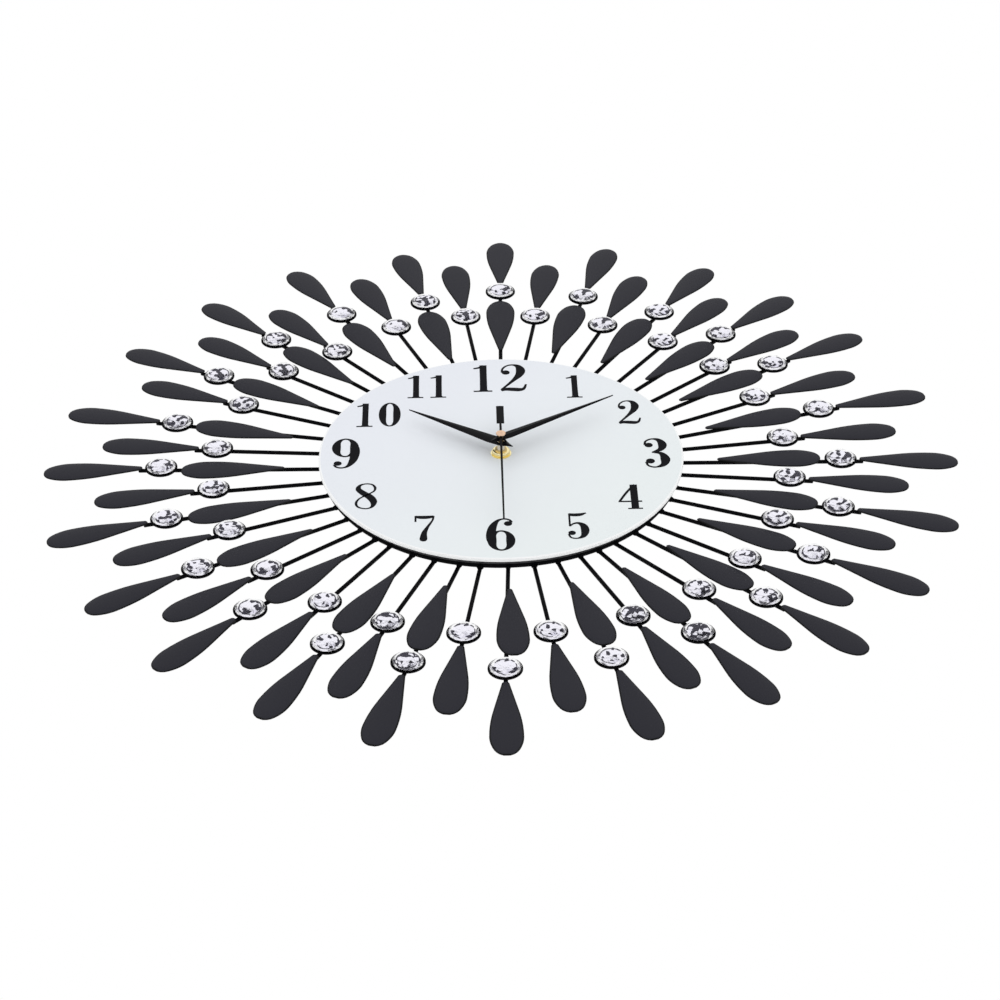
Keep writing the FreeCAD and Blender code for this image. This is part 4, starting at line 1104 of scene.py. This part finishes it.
def make_nut():
    """Round brass nut: knurled edge as a small ripple of the radius, and a chamfer each side."""
    low, high = GLASS_FRONT + 0.6, GLASS_FRONT + 3.2
    a = np.linspace(0, 2 * np.pi, 240, endpoint=False)[:, None]
    ripple = 0.09 * np.cos(48 * a)
    r = np.array([4.0, 5.5, 6.0, 6.0, 5.5, 4.8, 4.0])[None, :]
    z = np.array([low, low, low + 0.4, high - 0.5, high, high + 0.05, high])[None, :]
    knurl = np.array([0, 0, 1, 1, 0, 0, 0])[None, :]
    rr = r + ripple * knurl - 0.09 * knurl
    rings = np.stack([rr * np.cos(a), rr * np.sin(a), np.broadcast_to(z, rr.shape)], axis=-1)
    shell = Shell()
    shell.add_rings(rings, closed_path=True)
    shell.piece("round_nut", "clock_body", "nut_brass", finishes["brass"], ["bush_nut"], 30)


def make_knob():
    """Setting knob at the back: ribbed grip as a ripple of the radius, with a dished face."""
    at, low, high = KNOB_AT, KNOB_BACK, KNOB_FRONT
    a = np.linspace(0, 2 * np.pi, 180, endpoint=False)[:, None]
    ripple = 0.28 * np.cos(30 * a)
    r = np.array([0.8, 0.8, 4.6, 6.0, 6.5, 6.5, 6.0, 5.2, 4.9, 0.3, 0.3])[None, :]
    z = np.array([low + 1.0, high, high, high, high - 0.5, low + 0.5,
                  low, low, low + 0.5, low + 0.6, low + 1.0])[None, :]
    knurl = np.array([0, 0, 0, 0.3, 1, 1, 0.3, 0, 0, 0, 0])[None, :]
    rr = r + (ripple - 0.28) * knurl
    rings = np.stack([at[0] + rr * np.cos(a), at[1] + rr * np.sin(a),
                      np.broadcast_to(z, rr.shape)], axis=-1)
    shell = Shell()
    shell.add_rings(rings, closed_path=True)
    shell.piece("ribbed_knob", "setting_group", "setting_plastic", finishes["knob_plastic"],
                ["setting_knob"], 30)


# ------------------------------------------------------------ studio and view
def make_studio():
    """White surroundings that light the clock softly from all sides, and a pale floor far below."""
    scene = bpy.context.scene
    scene.view_settings.view_transform = "Standard"
    world = bpy.data.worlds.new("studio_white")
    world.use_nodes = True
    sky = world.node_tree.nodes["Background"]
    sky.inputs["Color"].default_value = (1.0, 1.0, 1.0, 1.0)
    sky.inputs["Strength"].default_value = 1.0
    scene.world = world

    mesh = bpy.data.meshes.new("studio_floor")
    half, level = 14.0, -2.6
    corners = [(-half, -half, level), (half, -half, level), (half, half, level), (-half, half, level)]
    mesh.from_pydata(corners, [], [(0, 1, 2, 3)])
    floor = bpy.data.objects.new("studio_floor", mesh)
    scene.collection.objects.link(floor)
    pale = bpy.data.materials.new("studio_floor_pale")
    pale.use_nodes = True
    bsdf = pale.node_tree.nodes["Principled BSDF"]
    put_colour(bsdf.inputs["Base Color"], (0.93, 0.93, 0.93))
    bsdf.inputs["Roughness"].default_value = 0.9
    mesh.materials.append(pale)


def look_from(point, back, right, up):
    """Camera at a point with its own axes given in the row frame."""
    camera = bpy.data.objects.new("view_camera", bpy.data.cameras.new("view_camera"))
    columns = np.stack([right, up, back], axis=1)
    matrix = np.eye(4)
    matrix[:3, :3] = columns
    matrix[:3, 3] = point
    camera.matrix_world = Matrix(matrix.tolist())
    camera.data.sensor_width = 36.0
    camera.data.lens = 102.2
    camera.data.clip_start, camera.data.clip_end = 0.05, 60.0
    bpy.context.scene.collection.objects.link(camera)
    bpy.context.scene.camera = camera


def make_camera():
    """Long lens, below and in front: 34 degrees off the dial's plane, 1.89 m from the dial."""
    lift, aside, roll = np.radians(34.13), np.radians(-0.81), np.radians(-0.57)
    back = np.array([np.sin(aside) * np.cos(lift), -np.cos(aside) * np.cos(lift), np.sin(lift)])
    level = np.array([np.cos(aside), np.sin(aside), 0.0])
    upright = np.cross(back, level)
    right = level * np.cos(roll) + upright * np.sin(roll)
    up = upright * np.cos(roll) - level * np.sin(roll)
    eye = np.array([-1.8, -56.3, GLASS_FRONT]) + back * 1885.3
    turn = lambda v: np.array([v[0], -v[2], v[1]])
    look_from(hung(eye), turn(back), turn(right), turn(up))


make_studio()
make_camera()
finish_carried_over()
make_glass()
make_ring()
make_numerals()
make_wires()
make_welds()
make_drops()
make_crystals()
make_lance_hand("hour_pointer", "hour_hand", "hour_wheel_group", angle=304.7, back=HOUR_HAND_BACK,
                length=76.0, widest=8.0, half=4.7, tail=9.7, bore=2.5)
make_lance_hand("minute_pointer", "minute_hand", "minute_pipe_group", angle=56.8, back=MINUTE_HAND_BACK,
                length=94.0, widest=6.5, half=3.9, tail=9.0, bore=1.7)
make_second_hand()
make_cap()
make_nut()
make_knob()
